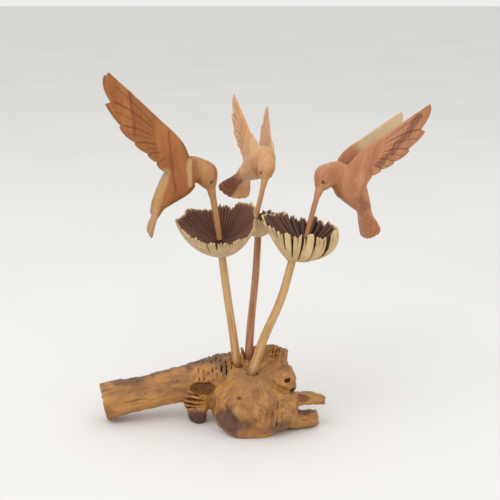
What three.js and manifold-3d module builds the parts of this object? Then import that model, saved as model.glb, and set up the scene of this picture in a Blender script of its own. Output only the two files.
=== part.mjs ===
// Hummingbird carving: three carved birds feeding at three dried woody flowers, on thin stems in a root base.
// Millimetres, +Z up, +X to the right of the front view, +Y towards the back. The root stands on z = 0.
import * as THREE from "three";
import { mergeVertices } from "three/addons/utils/BufferGeometryUtils.js";
import Module from "manifold-3d";

const wasm = await Module();
wasm.setup();

// Driving dimensions
const FIT_GAP = 0.3; // between a piece and the socket that holds it
const WELD = 1e-3; // vertices closer than this are one vertex
const STEM_SIDES = 9;
const STEM_STEPS = 6;
const BODY_SIDES = 12; // round a bird's body and head
const BODY_STEPS = 9;
const HEAD_STEPS = 7;
const BILL_SIDES = 8;
const BILL_STEPS = 3;
const EXTRUSION = { depth: 1, bevelEnabled: false, curveSegments: 2 };
const STEM_SINK = 9; // length of a stem inside the root
const STEM_TENON = 5; // length of a stem inside its flower
const BILL_LENGTH = 44;
const BILL_BOW = 0.3; // how far the middle of a bill stands off its straight line
const BILL_INSET = 2; // how far a bill starts inside the head
const WING_ROOT_THICKNESS = 5.0;
const WING_TIP_THICKNESS = 1.7;
const WING_ROOT_OUT = 10.2; // outer face of a wing from the bird's middle plane, at the shoulder
const WING_LENGTH = 102;
const WING_CHORD = 20; // from the wing's axis to its trailing edge
const TAIL_LENGTH = 25.5;
const TAIL_THICKNESS = 3.6;
const TAIL_ROOT_HALF = 6.5;
const TAIL_END_HALF = 15.5;
const TAIL_SCALLOPS = 5;
const TAIL_CUP = 3.2; // how far the sides of the tail curl towards the back
const TAIL_THINNING = 0.45; // share of its thickness that the tail loses by its end
const TAIL_FLANKS = [0.35, 0.75]; // shares of its length where the sides of the fan have corners
const TAIL_END_SHARE = 0.86; // width of the scalloped end, of the fan's
const TAIL_ARCH = 0.12; // how much shorter the fan is at its corners
const TAIL_SCALLOP_RISE = 2;
const GROOVE_DEPTH = 0.7;
const GROOVE_WIDTH = 1.3;
const GROOVE_LAG = 0.6; // the first groove starts this share of a feather down the coverts
const GROOVE_NARROWING = 0.4; // width of the end of a groove, of its start
const GROOVE_OVERRUN = 1.06; // a groove runs on a little past the notch it ends in
const CUP_FLUTES = 19; // ridges inside a flower
const CUP_RINGS_OUT = 4;
const CUP_RINGS_IN = 3;
const CUP_WALL = 2.5; // between the faces of a flower, from the second ring down
const CUP_RIM_WALL = 1.2;
const CUP_SAG = 0.64; // how far the inside hangs below a straight line, of the rim's height
const CUP_STRAIGHTEST = 0.5; // where a flower's side bends, of its radius and height, with no belly
const CUP_BULGE = 0.42; // how far a belly of 1 moves that bend
const HEART_RADIUS = 1.5;
const HEART_SHARE = 0.6; // where the lowest ring stands, of the way to the next
const SLIT_OUTER = 1.25; // how far a slit reaches, of the rim's radius
const SLIT_INNER = 0.62;
const SLIT_NARROWING = 0.35; // width of the bottom of a slit, of its top
const SLIT_CLEARANCE = 6; // height of the cutter over the rim
const FLUTE_DEPTH = 1.3;
const FLUTE_TOP = 0.75; // share of the way up where the flutes stop growing shallower
const RIM_JAG = 1.5;
const FOOT_RADIUS = 4.6; // where a flower meets its stem

// A bird's own frame: x towards its back, y to its left, z up along its bill, which starts at the origin.
// A body station: middle of the section, half height across the back, half width.
const BODY = [
  { at: [50.5, 0, -9.5], up: 4.6, side: 6.2 },
  { at: [46.8, 0, -4.2], up: 6.6, side: 7.2 },
  { at: [41.6, 0, 0.6], up: 9.0, side: 8.8 },
  { at: [34.8, 0, 6.2], up: 11.9, side: 10.6 },
  { at: [27.3, 0, 11.8], up: 14.0, side: 11.3 },
  { at: [19.8, 0, 17.6], up: 13.2, side: 10.6 },
  { at: [12.8, 0, 18.9], up: 11.6, side: 9.4 },
  { at: [7.4, 0, 17.4], up: 9.6, side: 8.0 },
];
const HEAD = [
  { at: [5.4, 0, 25.3], up: 1.5, side: 1.3 },
  { at: [4.9, 0, 23.4], up: 5.9, side: 5.1 },
  { at: [4.1, 0, 19.4], up: 9.2, side: 8.0 },
  { at: [3.2, 0, 14.4], up: 10.2, side: 9.0 },
  { at: [2.2, 0, 8.8], up: 8.9, side: 7.8 },
  { at: [1.2, 0, 4.0], up: 6.2, side: 5.2 },
  { at: [0.8, 0, 0.4], up: 3.7, side: 3.3 },
  { at: [0.6, 0, -3.4], up: 2.8, side: 2.7 },
];
// Leading edge of a wing, from the shoulder to the tip.
const WING_LEAD = [
  [15.0, 30.6],
  [17.6, 40.6],
  [23.6, 51.6],
  [35.6, 66.6],
  [56.4, 92.8],
  [73.2, 113.4],
];
// Flight feathers from the outermost in: the tip of each, how far it bulges, and the notch behind it.
const FEATHERS = [
  { tip: [75.6, 110.9], bulge: [79.3, 102.4], notch: [73.0, 88.2] },
  { tip: [78.2, 87.9], bulge: [75.0, 77.4], notch: [68.0, 66.6] },
  { tip: [69.4, 65.4], bulge: [67.0, 57.4], notch: [58.6, 50.2] },
  { tip: [58.8, 48.4], bulge: [55.8, 42.8], notch: [49.2, 38.8] },
  { tip: [49.2, 37.2], bulge: [47.4, 32.8], notch: [42.2, 29.8] },
  { tip: [42.6, 28.4], bulge: [41.6, 23.6], notch: [37.4, 20.6] },
];
const WING_INSIDE = [
  [30.0, 8.0],
  [19.0, 12.0],
];
const WING_ROOT = [19.0, 26.0];
const WING_ALONG = [0.527, 0.85];
const COVERTS = { upper: [45.0, 73.0], lower: [36.5, 31.0] }; // the carved grooves start between these points
const SHAFT_END = [72.6, 104.0]; // end of the groove along the outermost feather
const SHOULDER = [24.0, 26.0];
const NECK = [8.0, 14.0]; // the body turns and grows about this point
const PLUMP_STATIONS = 5; // of the body, from the rump
const PLUMP_SHIFT = [0.75, 0.66]; // how far a fuller station moves back and up, of what it gains
const NARROWING_SHARE = 0.35; // a narrow wing has its full width at the root and narrows to here
const TAIL_ROOT = [48.6, -6.4];
const TAIL_DIRECTION = [0.37, -0.929];

// The birds: the bill's root, how the bird stands, and what its carver did differently. A left lead under 1 is a
// left wing with a narrower front edge.
const BIRDS = [
  {
    name: "bird_left",
    root: [-32.3, 0, 215.3],
    yaw: 12.7,
    lean: 7.3,
    roll: 8.8,
    body: { pitch: -0.7, scale: 1, plump: 1, head: 1 },
    wings: { turn: 0, tipOut: 20.1, length: 0.953, chord: 1, leftLead: 1 },
    tailWidth: 1,
    bill: { root: 2.9, tip: 2.5 },
    color: 0xb0703a,
  },
  {
    name: "bird_middle",
    root: [13.2, 66, 209.0],
    yaw: -65.2,
    lean: 17.7,
    roll: 22.4,
    body: { pitch: 24.4, scale: 1.04, plump: 1, head: 0.84 },
    wings: { turn: -9.1, tipOut: 19.5, length: 0.94, chord: 0.76, leftLead: 1 },
    tailWidth: 1.12,
    bill: { root: 2.5, tip: 2.1 },
    color: 0xc28a52,
  },
  {
    name: "bird_right",
    root: [59.1, 15, 211.6],
    yaw: 203.8,
    lean: 26.8,
    roll: -18.2,
    body: { pitch: 9.1, scale: 0.975, plump: 1.14, head: 1 },
    wings: { turn: -2.2, tipOut: 21.1, length: 1.011, chord: 1, leftLead: 0.5 },
    tailWidth: 1,
    bill: { root: 2.5, tip: 2.1 },
    color: 0xb87445,
  },
];

// The flowers: the foot on the stem, then every 45 degrees from +X the rim's radius, its height over the foot,
// and how far the outside bulges below it (0 is a straight cone). The heart is the bottom of the hollow.
const FLOWERS = [
  {
    name: "flower_left",
    foot: [-24, 0, 156.6],
    rimRadius: [29, 33, 31, 37, 39, 34, 30, 29],
    rimHeight: [29, 42, 36, 36, 30, 22, 18, 21],
    belly: [0.5, 0.5, 0.5, 0.6, 0.72, 0.7, 0.6, 0.55],
    heart: [-25.2, -3.8, 172.2],
    slits: [
      { turn: 246, width: 1.4, depth: 6 },
      { turn: 262, width: 1.2, depth: 5 },
    ],
  },
  {
    name: "flower_middle",
    foot: [7.2, 50, 161.7],
    rimRadius: [24, 23, 22, 23, 23, 22, 23, 24],
    rimHeight: [20, 18, 18, 18, 19, 20, 21, 20],
    belly: [0.5, 0.5, 0.5, 0.5, 0.5, 0.5, 0.5, 0.5],
    heart: [3.8, 48.6, 171.6],
    slits: [],
  },
  {
    name: "flower_right",
    foot: [36, -5, 154.5],
    rimRadius: [39, 35, 28, 27, 26, 28, 28, 34],
    rimHeight: [27, 29, 32, 36, 38, 33, 28, 26],
    belly: [1.5, 1.2, 0.7, 0.4, 0.2, 0.3, 0.7, 1.2],
    heart: [46.6, -6.6, 169.0],
    slits: [
      { turn: 252, width: 2.0, depth: 13 },
      { turn: 268, width: 1.8, depth: 17 },
      { turn: 286, width: 2.0, depth: 19 },
      { turn: 304, width: 2.2, depth: 15 },
      { turn: 330, width: 6.0, depth: 16 },
    ],
  },
];

// The stems: where the axis leaves the root, its radii, and how far it stands off a straight line to the right
// at even steps. Each ends in the foot of its flower.
const STEMS = [
  { name: "stem_left", from: [-11.7, 12, 52], flower: 0, low: 4.0, high: 3.3, bends: [0, 0.3, -0.2, 0] },
  { name: "stem_middle", from: [-1.2, 25, 54], flower: 1, low: 3.8, high: 3.1, bends: [0, -0.4, 0.6, 0] },
  { name: "stem_right", from: [2.2, -1, 48], flower: 2, low: 4.2, high: 3.5, bends: [0, -1.2, 2.2, 0] },
];

// The root, as limbs with one station a row: middle, half height, half depth.
const LOG = [
  { at: [-131.5, 9, 17.0], up: 16.2, side: 15.0 },
  { at: [-120, 11, 19.2], up: 16.4, side: 15.4 },
  { at: [-100, 14, 23.5], up: 15.4, side: 14.8 },
  { at: [-80, 17, 28.0], up: 15.0, side: 14.6 },
  { at: [-60, 19, 32.0], up: 16.8, side: 16.2 },
  { at: [-40, 19, 35.5], up: 20.0, side: 19.0 },
  { at: [-22, 20, 37.0], up: 21.5, side: 22.0 },
  { at: [0, 22, 36.0], up: 18.0, side: 18.0 },
];
const STUB = [
  { at: [-44, 16, 31.0], up: 12.0, side: 14.0 },
  { at: [-47, 9, 20.0], up: 12.5, side: 13.5 },
  { at: [-47, 8, 9.0], up: 10.0, side: 9.0 },
  { at: [-46, 9, -2.0], up: 7.0, side: 6.5 },
];
const BLOCK = [
  { at: [-16, 25, 36.0], up: 18.0, side: 13.0 },
  { at: [-6, 25, 41.5], up: 22.5, side: 15.0 },
  { at: [8, 24, 42.0], up: 23.5, side: 17.5 },
  { at: [20, 21, 42.5], up: 23.5, side: 18.5 },
  { at: [28, 18, 41.5], up: 22.5, side: 17.5 },
];
const BRANCH = [
  { at: [-6, -14, 24.0], up: 17.0, side: 18.0 },
  { at: [14, -17, 21.0], up: 18.5, side: 17.0 },
  { at: [30, -14, 19.5], up: 15.0, side: 13.5 },
  { at: [39, -11, 19.5], up: 11.5, side: 10.5 },
];
const PRONG_HIGH = [
  { at: [26, -11, 26.0], up: 8.5, side: 9.5 },
  { at: [44, -9, 28.6], up: 6.0, side: 7.5 },
  { at: [58, -7, 27.6], up: 5.2, side: 6.4 },
  { at: [66, -6, 25.6], up: 3.2, side: 4.2 },
];
const PRONG_LOW = [
  { at: [24, -12, 12.0], up: 9.5, side: 10.0 },
  { at: [40, -8, 9.0], up: 8.2, side: 8.6 },
  { at: [52, -4, 7.6], up: 7.8, side: 7.4 },
  { at: [60, -2, 8.0], up: 6.4, side: 6.4 },
];
// How the limbs are lofted: seed shifts the ripples of the wood.
const LIMBS = [
  { stations: LOG, across: [0, 1, 0], sides: 12, steps: 13, seed: 0.4 },
  { stations: STUB, across: [1, 0, 0], sides: 10, steps: 6, seed: 1.9 },
  { stations: BLOCK, across: [0, 1, 0], sides: 12, steps: 7, seed: 3.1 },
  { stations: BRANCH, across: [0, 1, 0], sides: 12, steps: 7, seed: 4.6 },
  { stations: PRONG_HIGH, across: [0, 1, 0], sides: 10, steps: 7, seed: 2.2 },
  { stations: PRONG_LOW, across: [0, 1, 0], sides: 10, steps: 7, seed: 5.5 },
];
const HUB = { at: [2, 6, 17], half: [35, 41, 35.5], sides: 18, rings: 12 };
// The knotty shoulder under the sawn end.
const KNOB = { at: [28.5, 5, 40], half: [13, 15, 15], sides: 12, rings: 8 };
// The hollow between the log and the stub, and the sanded dish that the stems stand in.
const HOLLOW = { at: [-41, 4, 33.5], half: [12, 9, 6], sides: 10, rings: 7 };
const SCOOP = { at: [2, 2, 73], half: [30, 30, 24], sides: 16, rings: 10 };
const ROOT_SPAN = 400; // wider than the root, for the cut at z = 0
// Long ripples that follow a limb, as shares of its half height: how many go round it and along it.
const RIPPLES = [
  { size: 0.055, round: 3, along: 5, shift: 1 },
  { size: 0.033, round: 5, along: -9, shift: 2.3 },
  { size: 0.0275, round: 2, along: 17, shift: 1 },
];
// Lumps of the burl: size, then how fast each runs along X, Y and Z, and where it starts.
const LUMPS = [
  { size: 0.035, run: [7, 4, 0], start: 2 },
  { size: 0.03, run: [0, 9, -6], start: 0 },
  { size: 0.03, run: [5, 0, 11], start: 1 },
];

const DEGREES = Math.PI / 180;

const vector = (xyz) => new THREE.Vector3(...xyz);

// A manifold-3d solid from a closed three.js geometry, turned to face out.
function solidOf(geometry) {
  const bare = new THREE.BufferGeometry();
  bare.setAttribute("position", geometry.getAttribute("position").clone());
  bare.setIndex(geometry.index);
  const merged = mergeVertices(bare, WELD);
  const index = merged.index.array;
  const kept = [];
  for (let i = 0; i < index.length; i += 3) {
    const [a, b, c] = [index[i], index[i + 1], index[i + 2]];
    if (a !== b && b !== c && c !== a) kept.push(a, b, c);
  }
  const vertProperties = new Float32Array(merged.getAttribute("position").array);
  const build = (triVerts) => new wasm.Manifold(new wasm.Mesh({ numProp: 3, vertProperties, triVerts }));
  const made = build(new Uint32Array(kept));
  return made.volume() < 0 ? build(new Uint32Array(kept.reverse())) : made;
}

function geometryOf(solid) {
  const mesh = solid.getMesh();
  const geometry = new THREE.BufferGeometry();
  geometry.setAttribute("position", new THREE.BufferAttribute(new Float32Array(mesh.vertProperties), 3));
  geometry.setIndex(new THREE.BufferAttribute(new Uint32Array(mesh.triVerts), 1));
  geometry.computeVertexNormals();
  return geometry;
}

const joined = (solids) => solids.reduce((whole, next) => whole.add(next));

// Moves every vertex of a geometry through a function that changes the vector it is given.
function reshaped(geometry, move) {
  const position = geometry.getAttribute("position");
  const point = new THREE.Vector3();
  for (let i = 0; i < position.count; i++) {
    point.fromBufferAttribute(position, i);
    move(point);
    position.setXYZ(i, point.x, point.y, point.z);
  }
  return geometry;
}

// A limb with elliptical sections at stations along a smooth spine. The half widths lie along across.
function loft(stations, across, sides, steps, surface = () => 1) {
  const spine = new THREE.CatmullRomCurve3(stations.map((s) => vector(s.at)), false, "catmullrom");
  const sizes = stations.map((s) => new THREE.Vector3(s.up, s.side, 0));
  const section = new THREE.CatmullRomCurve3(sizes, false, "catmullrom");
  const limb = new THREE.CylinderGeometry(1, 1, 1, sides, steps);
  return reshaped(limb, (p) => {
    const t = THREE.MathUtils.clamp(0.5 - p.y, 0, 1);
    const tangent = spine.getTangent(t);
    const side = vector(across).addScaledVector(tangent, -tangent.dot(vector(across))).normalize();
    const up = new THREE.Vector3().crossVectors(tangent, side);
    const half = section.getPoint(t);
    const swell = surface(t, Math.atan2(p.z, p.x));
    const [rise, reach] = [half.x * p.x * swell, half.y * p.z * swell];
    p.copy(spine.getPoint(t)).addScaledVector(up, rise).addScaledVector(side, reach);
  });
}

// Turns a point of a bird's middle plane about a pivot, towards the bird's front for a positive angle.
function pitched(p, pivot, degrees) {
  const [c, s] = [Math.cos(degrees * DEGREES), Math.sin(degrees * DEGREES)];
  const [x, z] = [p.x - pivot[0], p.z - pivot[1]];
  p.x = pivot[0] + c * x - s * z;
  p.z = pivot[1] + s * x + c * z;
}

// The outline of a wing in the bird's middle plane, as a three.js shape.
function wingShape() {
  const shape = new THREE.Shape();
  shape.moveTo(...WING_LEAD[0]);
  shape.splineThru(WING_LEAD.slice(1).map((p) => new THREE.Vector2(...p)));
  for (const feather of FEATHERS) {
    shape.lineTo(...feather.tip);
    shape.quadraticCurveTo(...feather.bulge, ...feather.notch);
  }
  for (const p of WING_INSIDE) shape.lineTo(...p);
  return shape;
}

// A V groove from one point of the middle plane to another, cut into a sheet whose outer face is y = 0.
function groove(from, to) {
  const run = new THREE.Vector2(to[0] - from[0], to[1] - from[1]);
  const direction = run.clone().normalize();
  const cutter = new THREE.CylinderGeometry(1, GROOVE_NARROWING, 1, 4, 1);
  return reshaped(cutter, (p) => {
    const along = (0.5 - p.y) * run.length();
    const across = p.x * GROOVE_WIDTH;
    const x = from[0] + direction.x * along - direction.y * across;
    const z = from[1] + direction.y * along + direction.x * across;
    p.set(x, p.z * GROOVE_DEPTH, z);
  });
}

// How far a point of a wing lies behind the wing's axis.
const behind = (p) => (p.x - WING_ROOT[0]) * WING_ALONG[1] - (p.z - WING_ROOT[1]) * WING_ALONG[0];

// One wing: a flat carved sheet, thick at the shoulder and thin at the tip. It leans out by its side, +1 or -1.
function wing(bird, side) {
  const sheet = new THREE.ExtrudeGeometry(wingShape(), EXTRUSION);
  reshaped(sheet, (p) => p.set(p.x, -p.z, p.y));
  const starts = FEATHERS.slice(0, -1).map((_, i) => {
    const share = (i + GROOVE_LAG) / (FEATHERS.length - 1);
    return new THREE.Vector2(...COVERTS.upper).lerp(new THREE.Vector2(...COVERTS.lower), share).toArray();
  });
  const past = (from, notch) => [0, 1].map((i) => from[i] + (notch[i] - from[i]) * GROOVE_OVERRUN);
  const cuts = starts.map((from, i) => groove(from, past(from, FEATHERS[i].notch)));
  cuts.push(groove(COVERTS.upper, SHAFT_END));
  const place = (geometry, isSheet) =>
    reshaped(geometry, (p) => {
      const run = (p.x - WING_ROOT[0]) * WING_ALONG[0] + (p.z - WING_ROOT[1]) * WING_ALONG[1];
      const share = run / WING_LENGTH;
      const thickness = THREE.MathUtils.lerp(WING_ROOT_THICKNESS, WING_TIP_THICKNESS, share);
      const out = THREE.MathUtils.lerp(WING_ROOT_OUT, bird.wings.tipOut, share);
      p.y = side * (out + (isSheet ? p.y * thickness : p.y));
      const ease = THREE.MathUtils.smoothstep(share, 0, NARROWING_SHARE);
      const lead = side > 0 ? Math.min(behind(p), 0) * (bird.wings.leftLead - 1) : 0;
      const narrow = (WING_CHORD - behind(p)) * (1 - bird.wings.chord) * ease + lead;
      p.x += WING_ALONG[1] * narrow;
      p.z -= WING_ALONG[0] * narrow;
      p.x = SHOULDER[0] + (p.x - SHOULDER[0]) * bird.wings.length;
      p.z = SHOULDER[1] + (p.z - SHOULDER[1]) * bird.wings.length;
      pitched(p, SHOULDER, bird.wings.turn);
    });
  let solid = solidOf(place(sheet, true));
  for (const cut of cuts) solid = solid.subtract(solidOf(place(cut, false)));
  return solid;
}

// The tail: a fan with a scalloped end, square to the bird's middle plane.
function tail(bird) {
  const shape = new THREE.Shape();
  const end = TAIL_END_HALF * bird.tailWidth;
  const width = (share) => THREE.MathUtils.lerp(TAIL_ROOT_HALF, end, Math.sin((share * Math.PI) / 2));
  shape.moveTo(-TAIL_ROOT_HALF, 0);
  for (const share of TAIL_FLANKS) shape.lineTo(-width(share), share * TAIL_LENGTH);
  for (let i = 0; i < TAIL_SCALLOPS; i++) {
    const [low, high] = [i / TAIL_SCALLOPS, (i + 1) / TAIL_SCALLOPS];
    const arch = (share) => TAIL_LENGTH * (1 - TAIL_ARCH * (1 - Math.sin(share * Math.PI)));
    const at = (share) => (2 * share - 1) * end * TAIL_END_SHARE;
    const middle = (low + high) / 2;
    shape.quadraticCurveTo(at(middle), arch(middle) + TAIL_SCALLOP_RISE, at(high), arch(high));
  }
  for (const share of [...TAIL_FLANKS].reverse()) shape.lineTo(width(share), share * TAIL_LENGTH);
  shape.lineTo(TAIL_ROOT_HALF, 0);
  const fan = new THREE.ExtrudeGeometry(shape, EXTRUSION);
  const [dx, dz] = TAIL_DIRECTION;
  return reshaped(fan, (p) => {
    const thin = 1 - (TAIL_THINNING * p.y) / TAIL_LENGTH;
    const cup = TAIL_CUP * (p.x / end) ** 2;
    const off = (0.5 - p.z) * TAIL_THICKNESS * thin - cup;
    p.set(TAIL_ROOT[0] + dx * p.y + dz * off, p.x, TAIL_ROOT[1] + dz * p.y - dx * off);
  });
}

function bill(bird, grow) {
  const { root, tip } = bird.bill;
  const length = BILL_LENGTH + grow;
  const stations = [0, 0.5, 1].map((share) => {
    const r = THREE.MathUtils.lerp(root, tip, share) + grow;
    const bow = BILL_BOW * Math.cos(2 * Math.PI * share);
    return { at: [bow, 0, BILL_INSET - share * (length + BILL_INSET)], up: r, side: r };
  });
  return loft(stations, [0, 1, 0], BILL_SIDES, BILL_STEPS);
}

// From a bird's own frame to the world.
function standing(bird) {
  const [yaw, lean, roll] = [bird.yaw, bird.lean, bird.roll].map((d) => d * DEGREES);
  const front = new THREE.Vector3(Math.cos(yaw), Math.sin(yaw), 0);
  const up = new THREE.Vector3(0, 0, Math.cos(lean)).addScaledVector(front, -Math.sin(lean));
  const back = new THREE.Vector3(0, 0, -Math.sin(lean)).addScaledVector(front, -Math.cos(lean));
  const left = new THREE.Vector3(0, 0, 1).cross(front);
  const rolledUp = up.clone().multiplyScalar(Math.cos(roll)).addScaledVector(left, Math.sin(roll));
  const rolledLeft = left.clone().multiplyScalar(Math.cos(roll)).addScaledVector(up, -Math.sin(roll));
  return new THREE.Matrix4().makeBasis(back, rolledLeft, rolledUp).setPosition(...bird.root);
}

// A body station that is fuller on the bird's back, with its belly where it was.
function fuller({ at, up }, plump) {
  const more = up * (plump - 1);
  return { at: [at[0] + PLUMP_SHIFT[0] * more, 0, at[2] + PLUMP_SHIFT[1] * more], up: up + more };
}

function birdSolid(bird) {
  const { pitch, scale, plump } = bird.body;
  const stations = BODY.map((s, i) => ({ ...s, ...fuller(s, i < PLUMP_STATIONS ? plump : 1) }));
  const bodyParts = [loft(stations, [0, 1, 0], BODY_SIDES, BODY_STEPS), tail(bird)];
  for (const part of bodyParts) {
    reshaped(part, (p) => {
      p.set(NECK[0] + (p.x - NECK[0]) * scale, p.y, NECK[1] + (p.z - NECK[1]) * scale);
      pitched(p, NECK, pitch);
    });
  }
  const head = reshaped(loft(HEAD, [0, 1, 0], BODY_SIDES, HEAD_STEPS), (p) => p.multiplyScalar(bird.body.head));
  const parts = [...bodyParts, head, bill(bird, 0)].map(solidOf);
  parts.push(wing(bird, 1), wing(bird, -1));
  return joined(parts).transform(standing(bird).elements);
}

// A value read from eight numbers round a circle, with a smooth curve through them.
function around(values, angle) {
  const n = values.length;
  const x = (((angle / (2 * Math.PI)) % 1) + 1) * n;
  const [i, f] = [Math.floor(x), x - Math.floor(x)];
  const ease = (1 - Math.cos(Math.PI * f)) / 2;
  return values[i % n] * (1 - ease) + values[(i + 1) % n] * ease;
}

// A ragged number from -1 to 1 that is the same every time for the same seed.
const ragged = (seed) => Math.sin(seed * 12.9898) * Math.cos(seed * 4.1414 + 1.7);

// A flower: a fluted woody cup, hollow, on a solid foot. The profile runs up the outside and down inside.
function cup(flower, flowerIndex) {
  const columns = CUP_FLUTES * 2;
  const rows = [];
  for (let i = 0; i <= CUP_RINGS_OUT; i++) rows.push({ share: i / CUP_RINGS_OUT, inside: 0 });
  for (let i = CUP_RINGS_IN; i >= 1; i--) rows.push({ share: i / CUP_RINGS_IN, inside: 1 });
  const profile = rows.map((row, i) => new THREE.Vector2(1 + row.share, i));
  const points = [new THREE.Vector2(0, -1), ...profile, new THREE.Vector2(0, rows.length)];
  const lathe = new THREE.LatheGeometry(points, columns);
  const foot = vector(flower.foot);
  const heart = vector(flower.heart);
  return reshaped(lathe, (p) => {
    const row = rows[Math.round(p.y)];
    if (!row) {
      p.copy(p.y < 0 ? foot : heart);
      return;
    }
    const angle = Math.atan2(p.z, p.x);
    const column = Math.round((angle / (2 * Math.PI)) * columns + columns) % columns;
    const jag = RIM_JAG * ragged(column + 31 * flowerIndex);
    const radius = around(flower.rimRadius, angle) + 0.5 * jag;
    const height = around(flower.rimHeight, angle);
    if (!row.inside) {
      const bulge = around(flower.belly, angle);
      const bend = new THREE.QuadraticBezierCurve(
        new THREE.Vector2(FOOT_RADIUS, 0),
        new THREE.Vector2(
          radius * (CUP_STRAIGHTEST + CUP_BULGE * bulge),
          height * Math.max(CUP_STRAIGHTEST - CUP_BULGE * bulge, 0),
        ),
        new THREE.Vector2(radius, height + jag),
      );
      const { x, y } = bend.getPoint(row.share);
      p.set(foot.x + Math.cos(angle) * x, foot.y + Math.sin(angle) * x, foot.z + y);
      return;
    }
    const ridge = column % 2 ? FLUTE_DEPTH : -FLUTE_DEPTH;
    const outward = new THREE.Vector3(Math.cos(angle), Math.sin(angle), 0);
    const rim = foot.clone().addScaledVector(outward, radius - (row.share === 1 ? CUP_RIM_WALL : CUP_WALL));
    rim.z += height + jag;
    const start = heart.clone().addScaledVector(outward, HEART_RADIUS);
    const share = (row.share * CUP_RINGS_IN - HEART_SHARE) / (CUP_RINGS_IN - HEART_SHARE);
    p.lerpVectors(start, rim, share);
    p.z += ridge * Math.sin(Math.PI * Math.min(share, FLUTE_TOP)) - CUP_SAG * height * share * (1 - share);
  });
}

// A wedge that cuts a slit down through a flower's wall from the rim.
function slit(flower, { turn, width, depth }) {
  const angle = turn * DEGREES;
  const radius = around(flower.rimRadius, angle);
  const height = around(flower.rimHeight, angle);
  const wedge = new THREE.BoxGeometry(1, 1, 1);
  return reshaped(wedge, (p) => {
    const reach = radius * (p.x > 0 ? SLIT_OUTER : SLIT_INNER);
    const across = p.y * width * (p.z > 0 ? 1 : SLIT_NARROWING);
    const rise = height + (p.z > 0 ? SLIT_CLEARANCE : -depth);
    p.set(
      flower.foot[0] + Math.cos(angle) * reach - Math.sin(angle) * across,
      flower.foot[1] + Math.sin(angle) * reach + Math.cos(angle) * across,
      flower.foot[2] + rise,
    );
  });
}

// A whittled stem from inside the root to inside its flower.
function stem(spec, grow) {
  const from = vector(spec.from);
  const to = vector(FLOWERS[spec.flower].foot);
  const direction = to.clone().sub(from).normalize();
  from.addScaledVector(direction, -STEM_SINK - grow);
  to.addScaledVector(direction, STEM_TENON + grow);
  const stations = spec.bends.map((bend, i) => {
    const share = i / (spec.bends.length - 1);
    const at = from.clone().lerp(to, share);
    at.x += bend;
    const r = THREE.MathUtils.lerp(spec.low, spec.high, share) + grow;
    return { at: at.toArray(), up: r, side: r };
  });
  return loft(stations, [1, 0, 0], STEM_SIDES, STEM_STEPS);
}

// The surface of a weathered limb.
const weathered = (seed) => (t, angle) =>
  RIPPLES.reduce((sum, r) => sum + r.size * Math.sin(r.round * angle + r.along * t + r.shift * seed), 1);

function ellipsoid({ at, half, sides, rings }, surface = () => 1) {
  const ball = new THREE.SphereGeometry(1, sides, rings);
  return reshaped(ball, (p) => {
    const swell = surface(p);
    p.set(at[0] + half[0] * p.x * swell, at[1] + half[1] * p.y * swell, at[2] + half[2] * p.z * swell);
  });
}

const burl = (p) => LUMPS.reduce((sum, l) => sum + l.size * Math.sin(p.dot(vector(l.run)) + l.start), 1);

function rootSolid() {
  const limbs = LIMBS.map((l) => loft(l.stations, l.across, l.sides, l.steps, weathered(l.seed)));
  let root = joined([...limbs, ellipsoid(HUB, burl), ellipsoid(KNOB, burl)].map(solidOf));
  root = root.subtract(solidOf(ellipsoid(HOLLOW))).subtract(solidOf(ellipsoid(SCOOP)));
  const above = new THREE.BoxGeometry(ROOT_SPAN, ROOT_SPAN, ROOT_SPAN).translate(0, 0, ROOT_SPAN / 2);
  root = root.intersect(solidOf(above));
  for (const spec of STEMS) root = root.subtract(solidOf(stem(spec, FIT_GAP)));
  return root;
}

function flowerSolid(flower, index) {
  let solid = solidOf(cup(flower, index));
  for (const cut of flower.slits) solid = solid.subtract(solidOf(slit(flower, cut)));
  solid = solid.subtract(solidOf(stem(STEMS[index], FIT_GAP)));
  const bird = BIRDS[index];
  return solid.subtract(solidOf(bill(bird, FIT_GAP)).transform(standing(bird).elements));
}

function piece(name, solid, color, roughness) {
  const material = new THREE.MeshStandardMaterial({ color, roughness, metalness: 0 });
  const mesh = new THREE.Mesh(geometryOf(solid), material);
  mesh.name = name;
  return mesh;
}

const carving = new THREE.Group();
carving.name = "hummingbird_carving";
carving.add(piece("root_base", rootSolid(), 0x8f6130, 0.45));
for (const spec of STEMS) carving.add(piece(spec.name, solidOf(stem(spec, 0)), 0xb98a58, 0.5));
FLOWERS.forEach((flower, i) => carving.add(piece(flower.name, flowerSolid(flower, i), 0xd8bf92, 0.7)));
for (const bird of BIRDS) carving.add(piece(bird.name, birdSolid(bird), bird.color, 0.45));

export default carving;
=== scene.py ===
"""Hummingbird carving: three carved birds at three dried woody flowers, on thin stems in a gnarled root.

Sizes are in millimetres in the classes and become metres where a mesh is made. +X is to the right of the front view,
+Y towards the back, +Z up, and the root stands on z = 0, as in the frame.
"""

import itertools
import logging
import math
from dataclasses import dataclass, field
from enum import Enum
from typing import Any, Callable, Sequence

import bpy
import numpy as np
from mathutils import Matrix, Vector


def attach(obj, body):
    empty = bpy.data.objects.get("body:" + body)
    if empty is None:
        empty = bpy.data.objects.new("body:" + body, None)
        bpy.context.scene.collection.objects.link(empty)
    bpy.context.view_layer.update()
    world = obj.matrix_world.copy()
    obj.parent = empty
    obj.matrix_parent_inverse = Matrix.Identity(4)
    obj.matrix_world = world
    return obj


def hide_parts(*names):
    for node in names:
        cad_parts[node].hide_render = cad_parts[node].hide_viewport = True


LOG = logging.getLogger("hummingbird_carving")
MM = 0.001

Array = np.ndarray
Point2 = tuple[float, float]
Point3 = tuple[float, float, float]


def tone(red: int, green: int, blue: int) -> tuple[float, float, float, float]:
    """Turn a colour given from 0 to 255 on a screen into the renderer's linear colour."""
    linear = [((c / 255 + 0.055) / 1.055) ** 2.4 if c > 10 else c / 255 / 12.92 for c in (red, green, blue)]
    return (linear[0], linear[1], linear[2], 1.0)


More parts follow.
